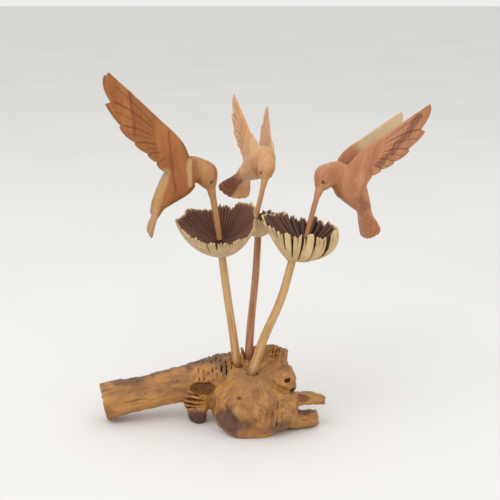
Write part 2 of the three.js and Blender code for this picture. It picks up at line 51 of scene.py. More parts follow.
def blend_min(a: Array, b: Array, reach: float) -> Array:
    """Join two solids with a soft fillet of the given reach."""
    share = np.clip(0.5 + 0.5 * (b - a) / reach, 0, 1)
    return b + (a - b) * share - reach * share * (1 - share)


def blend_max(a: Array, b: Array, reach: float) -> Array:
    """Keep what two solids have in common, with a soft edge of the given reach."""
    return -blend_min(-a, -b, reach)


def ease(low: float, high: float, value: Array) -> Array:
    """Rise smoothly from 0 at low to 1 at high."""
    share = np.clip((value - low) / (high - low), 0, 1)
    return share * share * (3 - 2 * share)


def waves(points: Array, seed: int) -> Array:
    """Give smooth noise from -1 to 1.

    Args:
        points: Places in cells of the noise, one row each.
        seed: Picks the noise.

    Returns:
        One value for each row.
    """
    table = np.random.default_rng(seed).uniform(-1, 1, (32, 32, 32)).astype(np.float32)
    base = np.floor(points).astype(np.int64)
    part = (points - base).astype(np.float32)
    part = part * part * (3 - 2 * part)
    total = np.zeros(len(points), np.float32)
    for corner in itertools.product((0, 1), repeat=3):
        weight = np.ones(len(points), np.float32)
        for axis, side in enumerate(corner):
            weight *= part[:, axis] if side else 1 - part[:, axis]
        i, j, k = ((base + corner) % 32).T
        total += weight * table[i, j, k]
    return total


def layered(points: Array, seed: int, layers: int = 3) -> Array:
    """Add up layers of noise, each twice as fine and half as strong as the last."""
    total = np.zeros(len(points), np.float32)
    for layer in range(layers):
        total += waves(points * 2**layer, seed + layer) / 2**layer
    return total


def through(stations: Sequence[Sequence[float]], each: int) -> Array:
    """Run a smooth curve through stations.

    Args:
        stations: Rows of numbers: a place and any sizes that go with it.
        each: How many steps the curve has between two stations.

    Returns:
        The rows of the finer curve, with the first and last stations at its ends.
    """
    rows = np.asarray(stations, float)
    padded = np.vstack([2 * rows[0] - rows[1], rows, 2 * rows[-1] - rows[-2]])
    made = []
    for i in range(len(rows) - 1):
        p0, p1, p2, p3 = padded[i : i + 4]
        for t in np.arange(each) / each:
            bend = 2 * p1 + (p2 - p0) * t + (2 * p0 - 5 * p1 + 4 * p2 - p3) * t**2
            made.append(0.5 * (bend + (3 * p1 - p0 - 3 * p2 + p3) * t**3))
    return np.array(made + [rows[-1]])


def quadratic(start: Point2, bend: Point2, end: Point2, steps: int) -> list[Point2]:
    """Give the points of a curve from start to end that leans towards bend, without its start."""
    points = []
    for i in range(1, steps + 1):
        t = i / steps
        points.append(tuple((1 - t) ** 2 * s + 2 * t * (1 - t) * b + t * t * e for s, b, e in zip(start, bend, end)))
    return points


def outline_distance(outline: Array, x: Array, z: Array) -> Array:
    """Give each place's distance from a closed outline, less than zero inside it."""
    nearest = np.full(np.broadcast(x, z).shape, np.inf, np.float32)
    inside = np.zeros(nearest.shape, bool)
    for (ax, az), (bx, bz) in zip(outline, np.roll(outline, -1, axis=0)):
        ex, ez = bx - ax, bz - az
        if ex == 0 and ez == 0:
            continue
        t = np.clip(((x - ax) * ex + (z - az) * ez) / (ex * ex + ez * ez), 0, 1)
        nearest = np.minimum(nearest, (x - ax - t * ex) ** 2 + (z - az - t * ez) ** 2)
        if ez != 0:
            inside ^= ((az > z) != (bz > z)) & (x < ex * (z - az) / ez + ax)
    return np.where(inside, -1, 1) * np.sqrt(nearest)


def line_distance(line: Array, *place: Array) -> tuple[Array, Array]:
    """Give each place's distance from a line of points.

    Args:
        line: The line's points, one row each.
        place: The coordinates of the places, as many as the line's points have.

    Returns:
        The distances, and how far along the line the nearest point is, from 0 to 1.
    """
    shape = np.broadcast(*place).shape
    nearest = np.full(shape, np.inf, np.float32)
    along = np.zeros(shape, np.float32)
    runs = np.linalg.norm(np.diff(line, axis=0), axis=1)
    ends = np.concatenate([[0], np.cumsum(runs)]) / runs.sum()
    for i, (a, b) in enumerate(zip(line[:-1], line[1:])):
        step = b - a
        t = sum((p - q) * s for p, q, s in zip(place, a, step)) / float(step @ step)
        t = np.clip(t, 0, 1)
        gap = sum((p - q - t * s) ** 2 for p, q, s in zip(place, a, step))
        nearer = gap < nearest
        nearest = np.where(nearer, gap, nearest)
        along = np.where(nearer, ends[i] + t * (ends[i + 1] - ends[i]), along)
    return np.sqrt(nearest), along


@dataclass
class Grid:
    """A block of even cells that a solid is sampled in."""

    low: Point3
    high: Point3
    step: float

    def axes(self) -> list[Array]:
        """Give the X, Y and Z of the samples, shaped so that they combine into a block."""
        runs = [np.arange(a, b + self.step, self.step, dtype=np.float32) for a, b in zip(self.low, self.high)]
        return [runs[0][:, None, None], runs[1][None, :, None], runs[2][None, None, :]]

    def read(self, values: Array, points: Array) -> Array:
        """Read sampled values at any points inside the block."""
        place = (points - np.array(self.low)) / self.step
        place = np.clip(place, 0, np.array(values.shape) - 1.001)
        base = place.astype(np.int64)
        part = place - base
        total = np.zeros(len(points))
        for corner in itertools.product((0, 1), repeat=3):
            weight = np.ones(len(points))
            for axis, side in enumerate(corner):
                weight *= part[:, axis] if side else 1 - part[:, axis]
            i, j, k = (base + corner).T
            total += weight * values[i, j, k]
        return total

    def slopes(self, values: Array, points: Array) -> Array:
        """Give the direction in which sampled values rise fastest at points, with its steepness."""
        reach = 0.7 * self.step
        steps = np.eye(3) * reach
        return np.stack(
            [(self.read(values, points + s) - self.read(values, points - s)) / (2 * reach) for s in steps], axis=1
        )

    def skin(self, values: Array) -> tuple[Array, Array, Array]:
        """Lay a surface of quads where the sampled values pass zero.

        Args:
            values: A block of values, less than zero inside the solid.

        Returns:
            The points, the quads that join them, and the outward direction at each point.
        """
        inside = values < 0
        cells = np.array(values.shape) - 1
        count = np.zeros(cells, np.uint8)
        for i, j, k in itertools.product((0, 1), repeat=3):
            count += inside[i : i + cells[0], j : j + cells[1], k : k + cells[2]]
        mixed = (count > 0) & (count < 8)
        number = np.full(cells, -1, np.int64)
        where = np.argwhere(mixed)
        number[mixed] = np.arange(len(where))
        total = np.zeros((len(where), 3))
        crossings = np.zeros(len(where))
        for axis in range(3):
            unit = np.eye(3, dtype=int)[axis]
            for corner in itertools.product((0, 1), repeat=3):
                if corner[axis]:
                    continue
                a = where + corner
                b = a + unit
                va, vb = values[tuple(a.T)], values[tuple(b.T)]
                cross = (va < 0) != (vb < 0)
                t = va[cross] / (va[cross] - vb[cross])
                total[cross] += np.array(corner) + t[:, None] * unit
                crossings[cross] += 1
        points = np.array(self.low) + (where + total / crossings[:, None]) * self.step
        quads = [self._faces(inside, number, axis) for axis in range(3)]
        slope = self.slopes(values, points)
        steep = np.maximum((slope**2).sum(1), 1e-6)
        shift = self.read(values, points) / steep
        limit = 0.5 * self.step / np.sqrt(steep)
        points = points - slope * np.clip(shift, -limit, limit)[:, None]
        slope = self.slopes(values, points)
        outward = slope / np.maximum(np.linalg.norm(slope, axis=1, keepdims=True), 1e-6)
        return points, np.vstack(quads), outward

    @staticmethod
    def _faces(inside: Array, number: Array, axis: int) -> Array:
        """Make the quads round every sampled edge along one axis that the surface crosses."""
        after = [slice(None)] * 3
        before = [slice(None)] * 3
        after[axis], before[axis] = slice(1, None), slice(None, -1)
        change = inside[tuple(after)] != inside[tuple(before)]
        edges = np.argwhere(change)
        b, c = (axis + 1) % 3, (axis + 2) % 3
        room = np.array(number.shape)
        keep = (edges[:, b] > 0) & (edges[:, c] > 0) & (edges[:, b] < room[b]) & (edges[:, c] < room[c])
        edges = edges[keep]
        corners = []
        for db, dc in ((-1, -1), (0, -1), (0, 0), (-1, 0)):
            cell = edges.copy()
            cell[:, b] += db
            cell[:, c] += dc
            corners.append(number[tuple(cell.T)])
        quads = np.stack(corners, axis=1)
        outwards = inside[tuple(edges.T)]
        quads[~outwards] = quads[~outwards][:, ::-1]
        return quads


def make_piece(name: str, points: Array, quads: Array, marks: dict[str, Array], material: Any) -> Any:
    """Make one object of the carving from points in millimetres.

    Args:
        name: The object's name.
        points: The points in the frame's axes, one row each.
        quads: Four point numbers a row. A row whose last two are the same is a triangle.
        marks: Numbers or directions kept at each point, by the name its material reads them by.
        material: The material of every face.

    Returns:
        The new object, at the origin.
    """
    mesh = bpy.data.meshes.new(name)
    corners = np.where(quads[:, 2] == quads[:, 3], 3, 4)
    loops = quads.ravel() if (corners == 4).all() else np.concatenate([q[:n] for q, n in zip(quads, corners)])
    mesh.vertices.add(len(points))
    mesh.vertices.foreach_set("co", (np.asarray(points) * MM).astype(np.float32).ravel())
    mesh.loops.add(len(loops))
    mesh.loops.foreach_set("vertex_index", loops.astype(np.int32))
    mesh.polygons.add(len(quads))
    mesh.polygons.foreach_set("loop_start", (np.cumsum(corners) - corners).astype(np.int32))
    mesh.update(calc_edges=True)
    for mark, values in marks.items():
        if values.ndim == 2:
            kept = mesh.attributes.new(mark, "FLOAT_VECTOR", "POINT")
            kept.data.foreach_set("vector", values.astype(np.float32).ravel())
        else:
            kept = mesh.attributes.new(mark, "FLOAT", "POINT")
            kept.data.foreach_set("value", values.astype(np.float32))
    mesh.materials.append(material)
    mesh.validate()
    made = bpy.data.objects.new(name, mesh)
    bpy.context.collection.objects.link(made)
    return made


def hand_in(piece: Any, node: str) -> None:
    """Hang a piece on the root body, hide the frame's solid that it stands for, and log it."""
    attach(piece, "root")
    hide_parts(node)
    LOG.info("%s: %d faces for node %s", piece.name, len(piece.data.polygons), node)


class Graph:
    """The node graph of one material, built from the surface back."""

    def __init__(self, name: str) -> None:
        """Start a material with one surface shader."""
        self.material = bpy.data.materials.new(name)
        self.material.use_nodes = True
        self.tree = self.material.node_tree
        self.tree.nodes.clear()
        self.shader = self.add("ShaderNodeBsdfPrincipled")
        output = self.add("ShaderNodeOutputMaterial")
        self.tree.links.new(self.shader.outputs[0], output.inputs["Surface"])

    def add(self, kind: str, **settings: Any) -> Any:
        """Add a node and set its options."""
        node = self.tree.nodes.new(kind)
        for name, value in settings.items():
            setattr(node, name, value)
        return node

    def put(self, socket: Any, value: Any) -> None:
        """Link a socket to another one, or give it a plain value."""
        if isinstance(value, bpy.types.NodeSocket):
            self.tree.links.new(value, socket)
        else:
            socket.default_value = value

    def mark(self, name: str) -> Any:
        """Read a number kept at the mesh's points."""
        return self.add("ShaderNodeAttribute", attribute_name=name).outputs["Fac"]

    def place(self, name: str) -> Any:
        """Read a direction kept at the mesh's points."""
        return self.add("ShaderNodeAttribute", attribute_name=name).outputs["Vector"]

    def stretched(self, place: Any, scale: Point3, shift: Point3 = (0, 0, 0)) -> Any:
        """Scale a place along each axis, for grain that runs further one way."""
        node = self.add("ShaderNodeMapping")
        self.put(node.inputs["Vector"], place)
        node.inputs["Scale"].default_value = scale
        node.inputs["Location"].default_value = shift
        return node.outputs[0]

    def noise(self, place: Any, scale: float, detail: float = 3, rough: float = 0.55, twist: float = 0) -> Any:
        """Read cloudy noise, from 0 to 1, at a place."""
        node = self.add("ShaderNodeTexNoise")
        self.put(node.inputs["Vector"], place)
        node.inputs["Scale"].default_value = scale
        node.inputs["Detail"].default_value = detail
        node.inputs["Roughness"].default_value = rough
        node.inputs["Distortion"].default_value = twist
        return node.outputs["Fac"]

    def bands(self, place: Any, scale: float, twist: float, detail: float = 2) -> Any:
        """Read soft bands across X, from 0 to 1, as growth rings give."""
        node = self.add("ShaderNodeTexWave", wave_type="BANDS", bands_direction="X", wave_profile="SIN")
        self.put(node.inputs["Vector"], place)
        node.inputs["Scale"].default_value = scale
        node.inputs["Distortion"].default_value = twist
        node.inputs["Detail"].default_value = detail
        return node.outputs["Fac"]

    def span(self, value: Any, low: float, high: float, to_low: float = 0, to_high: float = 1) -> Any:
        """Stretch a range of a value to another range, smoothly, and hold it there."""
        node = self.add("ShaderNodeMapRange", interpolation_type="SMOOTHSTEP")
        self.put(node.inputs["Value"], value)
        for name, number in zip(("From Min", "From Max", "To Min", "To Max"), (low, high, to_low, to_high)):
            node.inputs[name].default_value = number
        return node.outputs["Result"]

    def math(self, operation: str, a: Any, b: Any = 0.0) -> Any:
        """Combine two values."""
        node = self.add("ShaderNodeMath", operation=operation)
        self.put(node.inputs[0], a)
        self.put(node.inputs[1], b)
        return node.outputs[0]

    def mix(self, share: Any, a: Any, b: Any, blend: str = "MIX") -> Any:
        """Mix two colours."""
        node = self.add("ShaderNodeMix", data_type="RGBA", blend_type=blend)
        self.put(node.inputs[0], share)
        self.put(node.inputs[6], a)
        self.put(node.inputs[7], b)
        return node.outputs[2]

    def bump(self, height: Any, distance: float, strength: float = 1.0, under: Any = None) -> Any:
        """Raise the surface by a value times a distance in metres."""
        node = self.add("ShaderNodeBump")
        self.put(node.inputs["Height"], height)
        node.inputs["Distance"].default_value = distance
        node.inputs["Strength"].default_value = strength
        if under is not None:
            self.put(node.inputs["Normal"], under)
        return node.outputs[0]

    def finish(self, color: Any, roughness: Any, normal: Any, coat: float = 0.0) -> Any:
        """Join colour, roughness and relief to the surface, and give the material."""
        self.put(self.shader.inputs["Base Color"], color)
        self.put(self.shader.inputs["Roughness"], roughness)
        self.put(self.shader.inputs["Normal"], normal)
        self.shader.inputs["Coat Weight"].default_value = coat
        self.shader.inputs["Coat Roughness"].default_value = 0.35
        self.shader.inputs["Specular IOR Level"].default_value = 0.4
        return self.material


Colour = tuple[float, float, float, float]


@dataclass(frozen=True)
class CarvedWood:
    """Smooth carved wood with satin varnish, its grain along the bird's own Z, with painted shade darkening its carved
    grooves and creases.
    """

    name: str
    light: Colour
    middle: Colour
    dark: Colour
    pale: Colour
    stain: Colour
    fleck: float = 0.5

    def make(self) -> Any:
        """Build the material."""
        g = Graph(self.name)
        own = g.place("own")
        cloud = g.noise(g.stretched(own, (0.09, 0.09, 0.022)), 1.0, 3, 0.5, 0.6)
        streak = g.noise(g.stretched(own, (0.55, 0.55, 0.035)), 1.0, 4, 0.6)
        pores = g.noise(g.stretched(own, (2.4, 2.4, 0.22)), 1.0, 3, 0.7)
        color = g.mix(g.span(cloud, 0.3, 0.7), self.light, self.middle)
        color = g.mix(g.span(streak, 0.52, 0.78, 0, 0.55), color, self.dark)
        # The "pale" mark is mostly pale wood; on the left bird's back and tail it is a painted highlight.
        color = g.mix(g.math("MULTIPLY", g.mark("pale"), g.span(streak, 0.15, 0.6, 1, 0.8)), color, self.pale)
        color = g.mix(g.math("MULTIPLY", g.mark("stain"), g.span(streak, 0.2, 0.65, 0.55, 1)), color, self.stain)
        color = g.mix(g.span(pores, 0.56, 0.74, 0, self.fleck), color, self.dark)
        # Painted shade: the "cut" mark darkens carved grooves and creases as if shade lay in them.
        color = g.mix(g.math("MULTIPLY", g.mark("cut"), 0.62), color, self.dark)
        color = g.mix(g.mark("eye"), color, tone(34, 26, 18))
        color = g.mix(g.math("MULTIPLY", g.mark("glint"), 0.8), color, tone(112, 120, 88))
        relief = g.bump(pores, 0.00022, 0.5, g.bump(streak, 0.0005, 0.35))
        return g.finish(color, g.span(streak, 0.2, 0.8, 0.36, 0.52), relief, 0.12)


@dataclass(frozen=True)
class DriedFlower:
    """Woody flower: dark ridges inside, pale sanded wood outside."""

    name: str
    outside: Colour
    under: Colour
    edge: Colour
    ridge: Colour
    hollow: Colour

    def make(self) -> Any:
        """Build the material."""
        g = Graph(self.name)
        own = g.place("own")
        grain = g.noise(g.stretched(own, (0.9, 0.9, 0.16)), 1.0, 4, 0.6)
        cloud = g.noise(own, 0.11, 2, 0.5)
        fine = g.noise(g.stretched(own, (3.0, 3.0, 0.5)), 1.0, 3, 0.7)
        skin = g.mix(g.span(cloud, 0.35, 0.65), self.outside, self.edge)
        skin = g.mix(g.math("MULTIPLY", g.mark("low"), g.span(grain, 0.2, 0.8, 1, 0.75)), skin, self.under)
        skin = g.mix(g.span(grain, 0.58, 0.8, 0, 0.3), skin, self.ridge)
        dark = g.mix(g.span(g.math("ADD", g.mark("crest"), g.math("MULTIPLY", fine, 0.5)), 0.3, 1.2), self.hollow, self.ridge)
        color = g.mix(g.mark("inner"), skin, dark)
        relief = g.bump(fine, 0.0003, 0.6)
        return g.finish(color, g.span(g.mark("inner"), 0, 1, 0.5, 0.62), relief)


@dataclass(frozen=True)
class WhittledStem:
    """Thin stem with knife marks and long streaks."""

    name: str
    light: Colour
    dark: Colour
    foot: Colour

    def make(self) -> Any:
        """Build the material."""
        g = Graph(self.name)
        own = g.place("own")
        streak = g.noise(g.stretched(own, (0.5, 0.5, 0.03)), 1.0, 4, 0.6)
        knots = g.noise(g.stretched(own, (0.3, 0.3, 0.12)), 1.0, 2, 0.5)
        pores = g.noise(g.stretched(own, (2.5, 2.5, 0.25)), 1.0, 3, 0.7)
        color = g.mix(g.span(streak, 0.35, 0.68), self.light, self.dark)
        color = g.mix(g.span(knots, 0.62, 0.76, 0, 0.5), color, self.foot)
        color = g.mix(g.span(pores, 0.58, 0.76, 0, 0.35), color, self.foot)
        color = g.mix(g.math("MULTIPLY", g.mark("low"), 0.75), color, self.foot)
        return g.finish(color, 0.45, g.bump(pores, 0.0002, 0.5, g.bump(streak, 0.0004, 0.4)), 0.1)


@dataclass(frozen=True)
class RootWood:
    """Weathered root under varnish: golden wood, umber bark lines, purple-brown heart."""

    name: str
    gold: Colour
    brown: Colour
    umber: Colour
    purple: Colour
    red: Colour
    sanded: Colour

    def make(self) -> Any:
        """Build the material."""
        g = Graph(self.name)
        fibre = g.place("fibre")
        lines = g.noise(g.stretched(fibre, (0.03, 0.42, 0.3)), 1.0, 5, 0.62, 0.5)
        fine = g.noise(g.stretched(fibre, (0.16, 1.9, 1.2)), 1.0, 4, 0.68, 0.3)
        cloud = g.noise(fibre, 0.045, 3, 0.55, 0.8)
        pores = g.noise(g.place("own"), 1.3, 3, 0.7)
        color = g.mix(g.span(cloud, 0.34, 0.66), self.gold, self.brown)
        color = g.mix(g.math("MULTIPLY", g.mark("sanded"), 0.85), color, self.sanded)
        color = g.mix(g.math("MULTIPLY", g.mark("bright"), 0.8), color, self.gold)
        color = g.mix(g.math("MULTIPLY", g.mark("purple"), g.span(lines, 0.2, 0.6, 0.7, 1)), color, self.purple)
        color = g.mix(g.math("MULTIPLY", g.mark("red"), g.span(fine, 0.2, 0.6, 0.6, 1)), color, self.red)
        color = g.mix(g.span(lines, 0.5, 0.72, 0, 0.7), color, self.umber)
        color = g.mix(g.span(fine, 0.54, 0.78, 0, 0.5), color, self.umber)
        color = g.mix(g.math("MULTIPLY", g.mark("deep"), g.span(fine, 0.1, 0.7, 1, 0.6)), color, self.umber)
        color = g.mix(g.span(g.mark("pit"), 0.2, 1.0, 0, 0.92), color, tone(38, 24, 16))
        height = g.math("ADD", g.math("MULTIPLY", fine, 0.6), g.math("MULTIPLY", pores, 0.4))
        relief = g.bump(height, 0.0011, 0.55, g.bump(lines, 0.0022, 0.45))
        return g.finish(color, g.span(fine, 0.2, 0.8, 0.34, 0.55), relief, 0.15)


class Side(Enum):
    """Which sides of a bird a mark is on: its left is +Y in its own frame."""

    LEFT = 1
    RIGHT = -1
    BOTH = 0


@dataclass(frozen=True)
class Stroke:
    """A soft mark laid along a line on a bird's side, in its own X and Z."""

    mark: str
    line: tuple[Point2, ...]
    width: float
    side: Side = Side.BOTH
    strength: float = 1.0
    ragged: float = 0.35

    def at(self, points: Array) -> Array:
        """Give the mark's strength at points of the bird."""
        gap, _ = line_distance(np.array(self.line, float), points[:, 0], points[:, 2])
        wander = waves(points * (0.35, 0.35, 0.08), 5) * self.ragged * self.width
        share = 1 - ease(0.35 * self.width, self.width, gap + wander)
        if self.side is not Side.BOTH:
            share = share * ease(-1.5, 1.5, points[:, 1] * self.side.value)
        return self.strength * share


@dataclass
class Bird:
    """One hummingbird, carved in one piece, with its bill in a flower."""

    node: str
    slot: str
    wood: CarvedWood
    root: Point3
    yaw: float
    lean: float
    roll: float
    pitch: float
    scale: float
    plump: float
    wing_turn: float
    wing_out: float
    wing_length: float
    wing_chord: float
    left_lead: float
    head_scale: float
    tail_width: float
    bill_root: float
    bill_tip: float
    strokes: tuple[Stroke, ...] = ()
    eye: Point2 = (0.2, 6.3)
    mask: float = 0.0
    flank: float = 0.0
    planed: float = 0.0
    cell: float = 0.62
    bill_length: float = 44.0
    shoulder: Point2 = (24.0, 26.0)
    neck: Point2 = (8.0, 14.0)
    wing_root: Point2 = (19.0, 26.0)
    wing_along: Point2 = (0.527, 0.85)
    wing_span: float = 102.0
    wing_chord_full: float = 20.0
    wing_root_out: float = 10.2
    wing_thickness: Point2 = (5.0, 1.7)
    tail_root: Point2 = (48.6, -6.4)
    tail_direction: Point2 = (0.37, -0.929)
    tail_length: float = 25.5
    tail_thickness: float = 3.6
    tail_half: Point2 = (6.5, 15.5)
    tail_cup: float = 3.2
    tail_scallops: int = 6

    # Middle of a section, half height across the back, half width.
    body: tuple = (
        (50.5, -9.5, 4.6, 6.2),
        (46.8, -4.2, 6.6, 7.2),
        (41.6, 0.6, 9.0, 8.8),
        (34.8, 6.2, 11.9, 10.6),
        (27.3, 11.8, 14.0, 11.3),
        (19.8, 17.6, 13.2, 10.6),
        (12.8, 18.9, 11.6, 9.4),
        (7.4, 17.4, 9.6, 8.0),
    )
    head: tuple = (
        (5.4, 24.2, 2.4, 2.2),
        (4.9, 22.4, 6.0, 5.2),
        (4.1, 18.8, 9.0, 7.9),
        (3.2, 14.4, 10.2, 9.0),
        (2.2, 8.8, 8.9, 7.8),
        (1.2, 4.0, 6.2, 5.2),
        (0.8, 0.4, 3.7, 3.3),
        (0.6, -3.4, 2.8, 2.7),
    )
    lead: tuple = ((15.0, 30.6), (17.6, 40.6), (23.6, 51.6), (35.6, 66.6), (56.4, 92.8), (73.2, 113.4))
    # Flight feathers from the outermost in: the tip of each, how far it bulges, and the notch behind it.
    feathers: tuple = (
        ((75.6, 110.9), (79.3, 102.4), (73.0, 88.2)),
        ((78.2, 87.9), (75.0, 77.4), (68.0, 66.6)),
        ((69.4, 65.4), (67.0, 57.4), (58.6, 50.2)),
        ((58.8, 48.4), (55.8, 42.8), (49.2, 38.8)),
        ((49.2, 37.2), (47.4, 32.8), (42.2, 29.8)),
        ((42.6, 28.4), (41.6, 23.6), (37.4, 20.6)),
    )
    inside: tuple = ((30.0, 8.0), (19.0, 12.0))
    # Carved lines between the feathers: where each starts, leans and ends, and how deep it is.
    grooves: tuple = (
        ((41.0, 60.5), (52.0, 80.0), (68.6, 99.0), 0.75),
        ((41.5, 58.0), (56.0, 77.0), (72.6, 87.6), 1.0),
        ((43.0, 55.5), (58.0, 71.0), (73.4, 79.0), 0.6),
        ((43.5, 52.5), (56.0, 63.0), (68.6, 66.4), 1.0),
        ((43.0, 49.0), (54.0, 56.0), (65.0, 58.5), 0.6),
        ((42.0, 45.5), (51.0, 50.0), (59.4, 50.2), 1.0),
        ((41.0, 42.0), (47.0, 43.5), (53.0, 43.0), 0.6),
        ((39.5, 38.5), (44.5, 39.5), (50.0, 38.7), 1.0),
        ((37.0, 33.0), (39.5, 31.5), (43.0, 29.6), 0.9),
    )

    def turned(self, x: Any, z: Any, pivot: Point2, degrees: float) -> tuple[Any, Any]:
        """Turn places of the bird's middle plane about a pivot, towards its front for a positive angle."""
        c, s = math.cos(math.radians(degrees)), math.sin(math.radians(degrees))
        dx, dz = x - pivot[0], z - pivot[1]
        return pivot[0] + c * dx - s * dz, pivot[1] + s * dx + c * dz

    def wing_line(self, line: Sequence[Point2], lead: float = 1.0) -> Array:
        """Bring a line from the wing pattern to this bird's wing.

        Args:
            line: Points of the pattern.
            lead: How much of its width in front of the wing's axis the wing keeps.

        Returns:
            The points in the bird's middle plane, one row each.
        """
        p = np.array(line, float)
        rx, rz = p[:, 0] - self.wing_root[0], p[:, 1] - self.wing_root[1]
        share = (rx * self.wing_along[0] + rz * self.wing_along[1]) / self.wing_span
        behind = rx * self.wing_along[1] - rz * self.wing_along[0]
        narrow = (self.wing_chord_full - behind) * (1 - self.wing_chord) * ease(0, 0.35, share)
        narrow = narrow + np.minimum(behind, 0) * (lead - 1)
        x = self.shoulder[0] + (p[:, 0] + self.wing_along[1] * narrow - self.shoulder[0]) * self.wing_length
        z = self.shoulder[1] + (p[:, 1] - self.wing_along[0] * narrow - self.shoulder[1]) * self.wing_length
        return np.stack(self.turned(x, z, self.shoulder, self.wing_turn), axis=1)

    def wing_outline(self, lead: float) -> Array:
        """Give the closed outline of a wing, with its front width times lead, in the bird's middle plane."""
        line = [tuple(p) for p in through(self.lead, 6)]
        for tip, bulge, notch in self.feathers:
            line.append(tip)
            line += quadratic(tip, bulge, notch, 6)
        return self.wing_line(line + list(self.inside), lead)

    def wing_edge(self, x: Array, y: Array, z: Array) -> Array:
        """Give each place's distance from the outline of the wing on its side, less than zero inside it."""
        right = outline_distance(self.wing_outline(1.0), x, z)
        if self.left_lead == 1:
            return right
        return np.where(y > 0, outline_distance(self.wing_outline(self.left_lead), x, z), right)

    def wing_share(self, x: Array, z: Array) -> Array:
        """Give how far out along the wing a place is, from 0 at its root to 1 at its tip."""
        ux, uz = self.turned(x, z, self.shoulder, -self.wing_turn)
        ux = self.shoulder[0] + (ux - self.shoulder[0]) / self.wing_length
        uz = self.shoulder[1] + (uz - self.shoulder[1]) / self.wing_length
        run = (ux - self.wing_root[0]) * self.wing_along[0] + (uz - self.wing_root[1]) * self.wing_along[1]
        return run / self.wing_span

    def groove_depth(self, x: Array, z: Array) -> Array:
        """Give how deep the carved lines of a wing are at places of the middle plane, from 0 to 1."""
        depth = np.zeros(np.broadcast(x, z).shape, np.float32)
        for start, bend, end, strength in self.grooves:
            line = self.wing_line([start] + quadratic(start, bend, end, 8))
            gap, along = line_distance(line, x, z)
            taper = ease(0, 0.12, along) * (0.75 + 0.25 * along)
            depth = np.maximum(depth, strength * taper * (1 - ease(0.1, 0.95, gap)))
        return depth

    def feather_step(self, x: Array, z: Array) -> Array:
        """Give a shallow slope across each feather, highest along its front edge."""
        rise = np.zeros(np.broadcast(x, z).shape, np.float32)
        for start, bend, end, strength in self.grooves:
            line = self.wing_line([start] + quadratic(start, bend, end, 8))
            gap, along = line_distance(line, x, z)
            ahead = ease(0.0, 0.3, along) * strength
            rise = np.maximum(rise, ahead * np.exp(-((gap - 1.6) / 1.2) ** 2))
        return rise

    def spine(self, stations: tuple, lifted: bool) -> Array:
        """Give the fine curve of the body or head, with the body pitched and fuller as this bird's is."""
        rows = []
        for i, (x, z, up, side) in enumerate(stations):
            if not lifted:
                x, z, up, side = (value * self.head_scale for value in (x, z, up, side))
            else:
                more = up * (self.plump - 1) if i < 5 else 0
                x, z, up = x + 0.75 * more, z + 0.66 * more, (up + more) * self.scale
                x = self.neck[0] + (x - self.neck[0]) * self.scale
                z = self.neck[1] + (z - self.neck[1]) * self.scale
                x, z = self.turned(x, z, self.neck, self.pitch)
            rows.append((x, z, up, side))
        return through(rows, 5)

    @staticmethod
    def limb(spine: Array, x: Array, y: Array, z: Array, square: float = 2.0) -> Array:
        """Sample a limb whose spine lies in the middle plane.

        Args:
            spine: Rows of X, Z, half height and half width.
            x: Sampled X.
            y: Sampled Y.
            z: Sampled Z.
            square: 2 for elliptical sections, more for squarer ones.

        Returns:
            The sampled distances, less than zero inside.
        """
        gap, along = line_distance(spine[:, :2], x, z)
        runs = np.linalg.norm(np.diff(spine[:, :2], axis=0), axis=1)
        ends = np.concatenate([[0], np.cumsum(runs)]) / runs.sum()
        up = np.interp(along, ends, spine[:, 2]).astype(np.float32)
        side = np.interp(along, ends, spine[:, 3]).astype(np.float32)
        out = (gap / up) ** square + (np.abs(y) / side) ** square
        return (out ** (1 / square) - 1) * np.minimum(up, side)

    def sample_wings(self, x: Array, y: Array, z: Array) -> Array:
        """Sample both wings, carved with feathers on their outer faces."""
        flat = self.wing_edge(x, y, z)
        share = self.wing_share(x, z)
        thick = self.wing_thickness[0] + (self.wing_thickness[1] - self.wing_thickness[0]) * share
        out = self.wing_root_out + (self.wing_out - self.wing_root_out) * share
        near = (np.abs(flat) < 12) | (flat < 0)
        cut = np.where(near, self.groove_depth(x, z), 0)
        step = np.where(near, self.feather_step(x, z), 0)
        belly = 0.5 * thick * (1 - ease(0, 7, -flat))
        face = out - 0.85 * cut + 0.25 * step - 0.3 * belly
        back = out - thick + 0.3 * belly
        edge = flat.astype(np.float32) + 0.9
        slab = np.maximum(np.abs(y) - face, back - np.abs(y)) + 0.9
        corner = np.sqrt(np.maximum(edge, 0) ** 2 + np.maximum(slab, 0) ** 2)
        return corner + np.minimum(np.maximum(edge, slab), 0) - 0.9

    def tail_frame(self, x: Array, z: Array) -> tuple[Array, Array]:
        """Give how far down the tail and how far in front of it places of the middle plane are."""
        ux, uz = self.turned(x, z, self.neck, -self.pitch)
        ux = self.neck[0] + (ux - self.neck[0]) / self.scale - self.tail_root[0]
        uz = self.neck[1] + (uz - self.neck[1]) / self.scale - self.tail_root[1]
        dx, dz = self.tail_direction
        return ux * dx + uz * dz, ux * dz - uz * dx

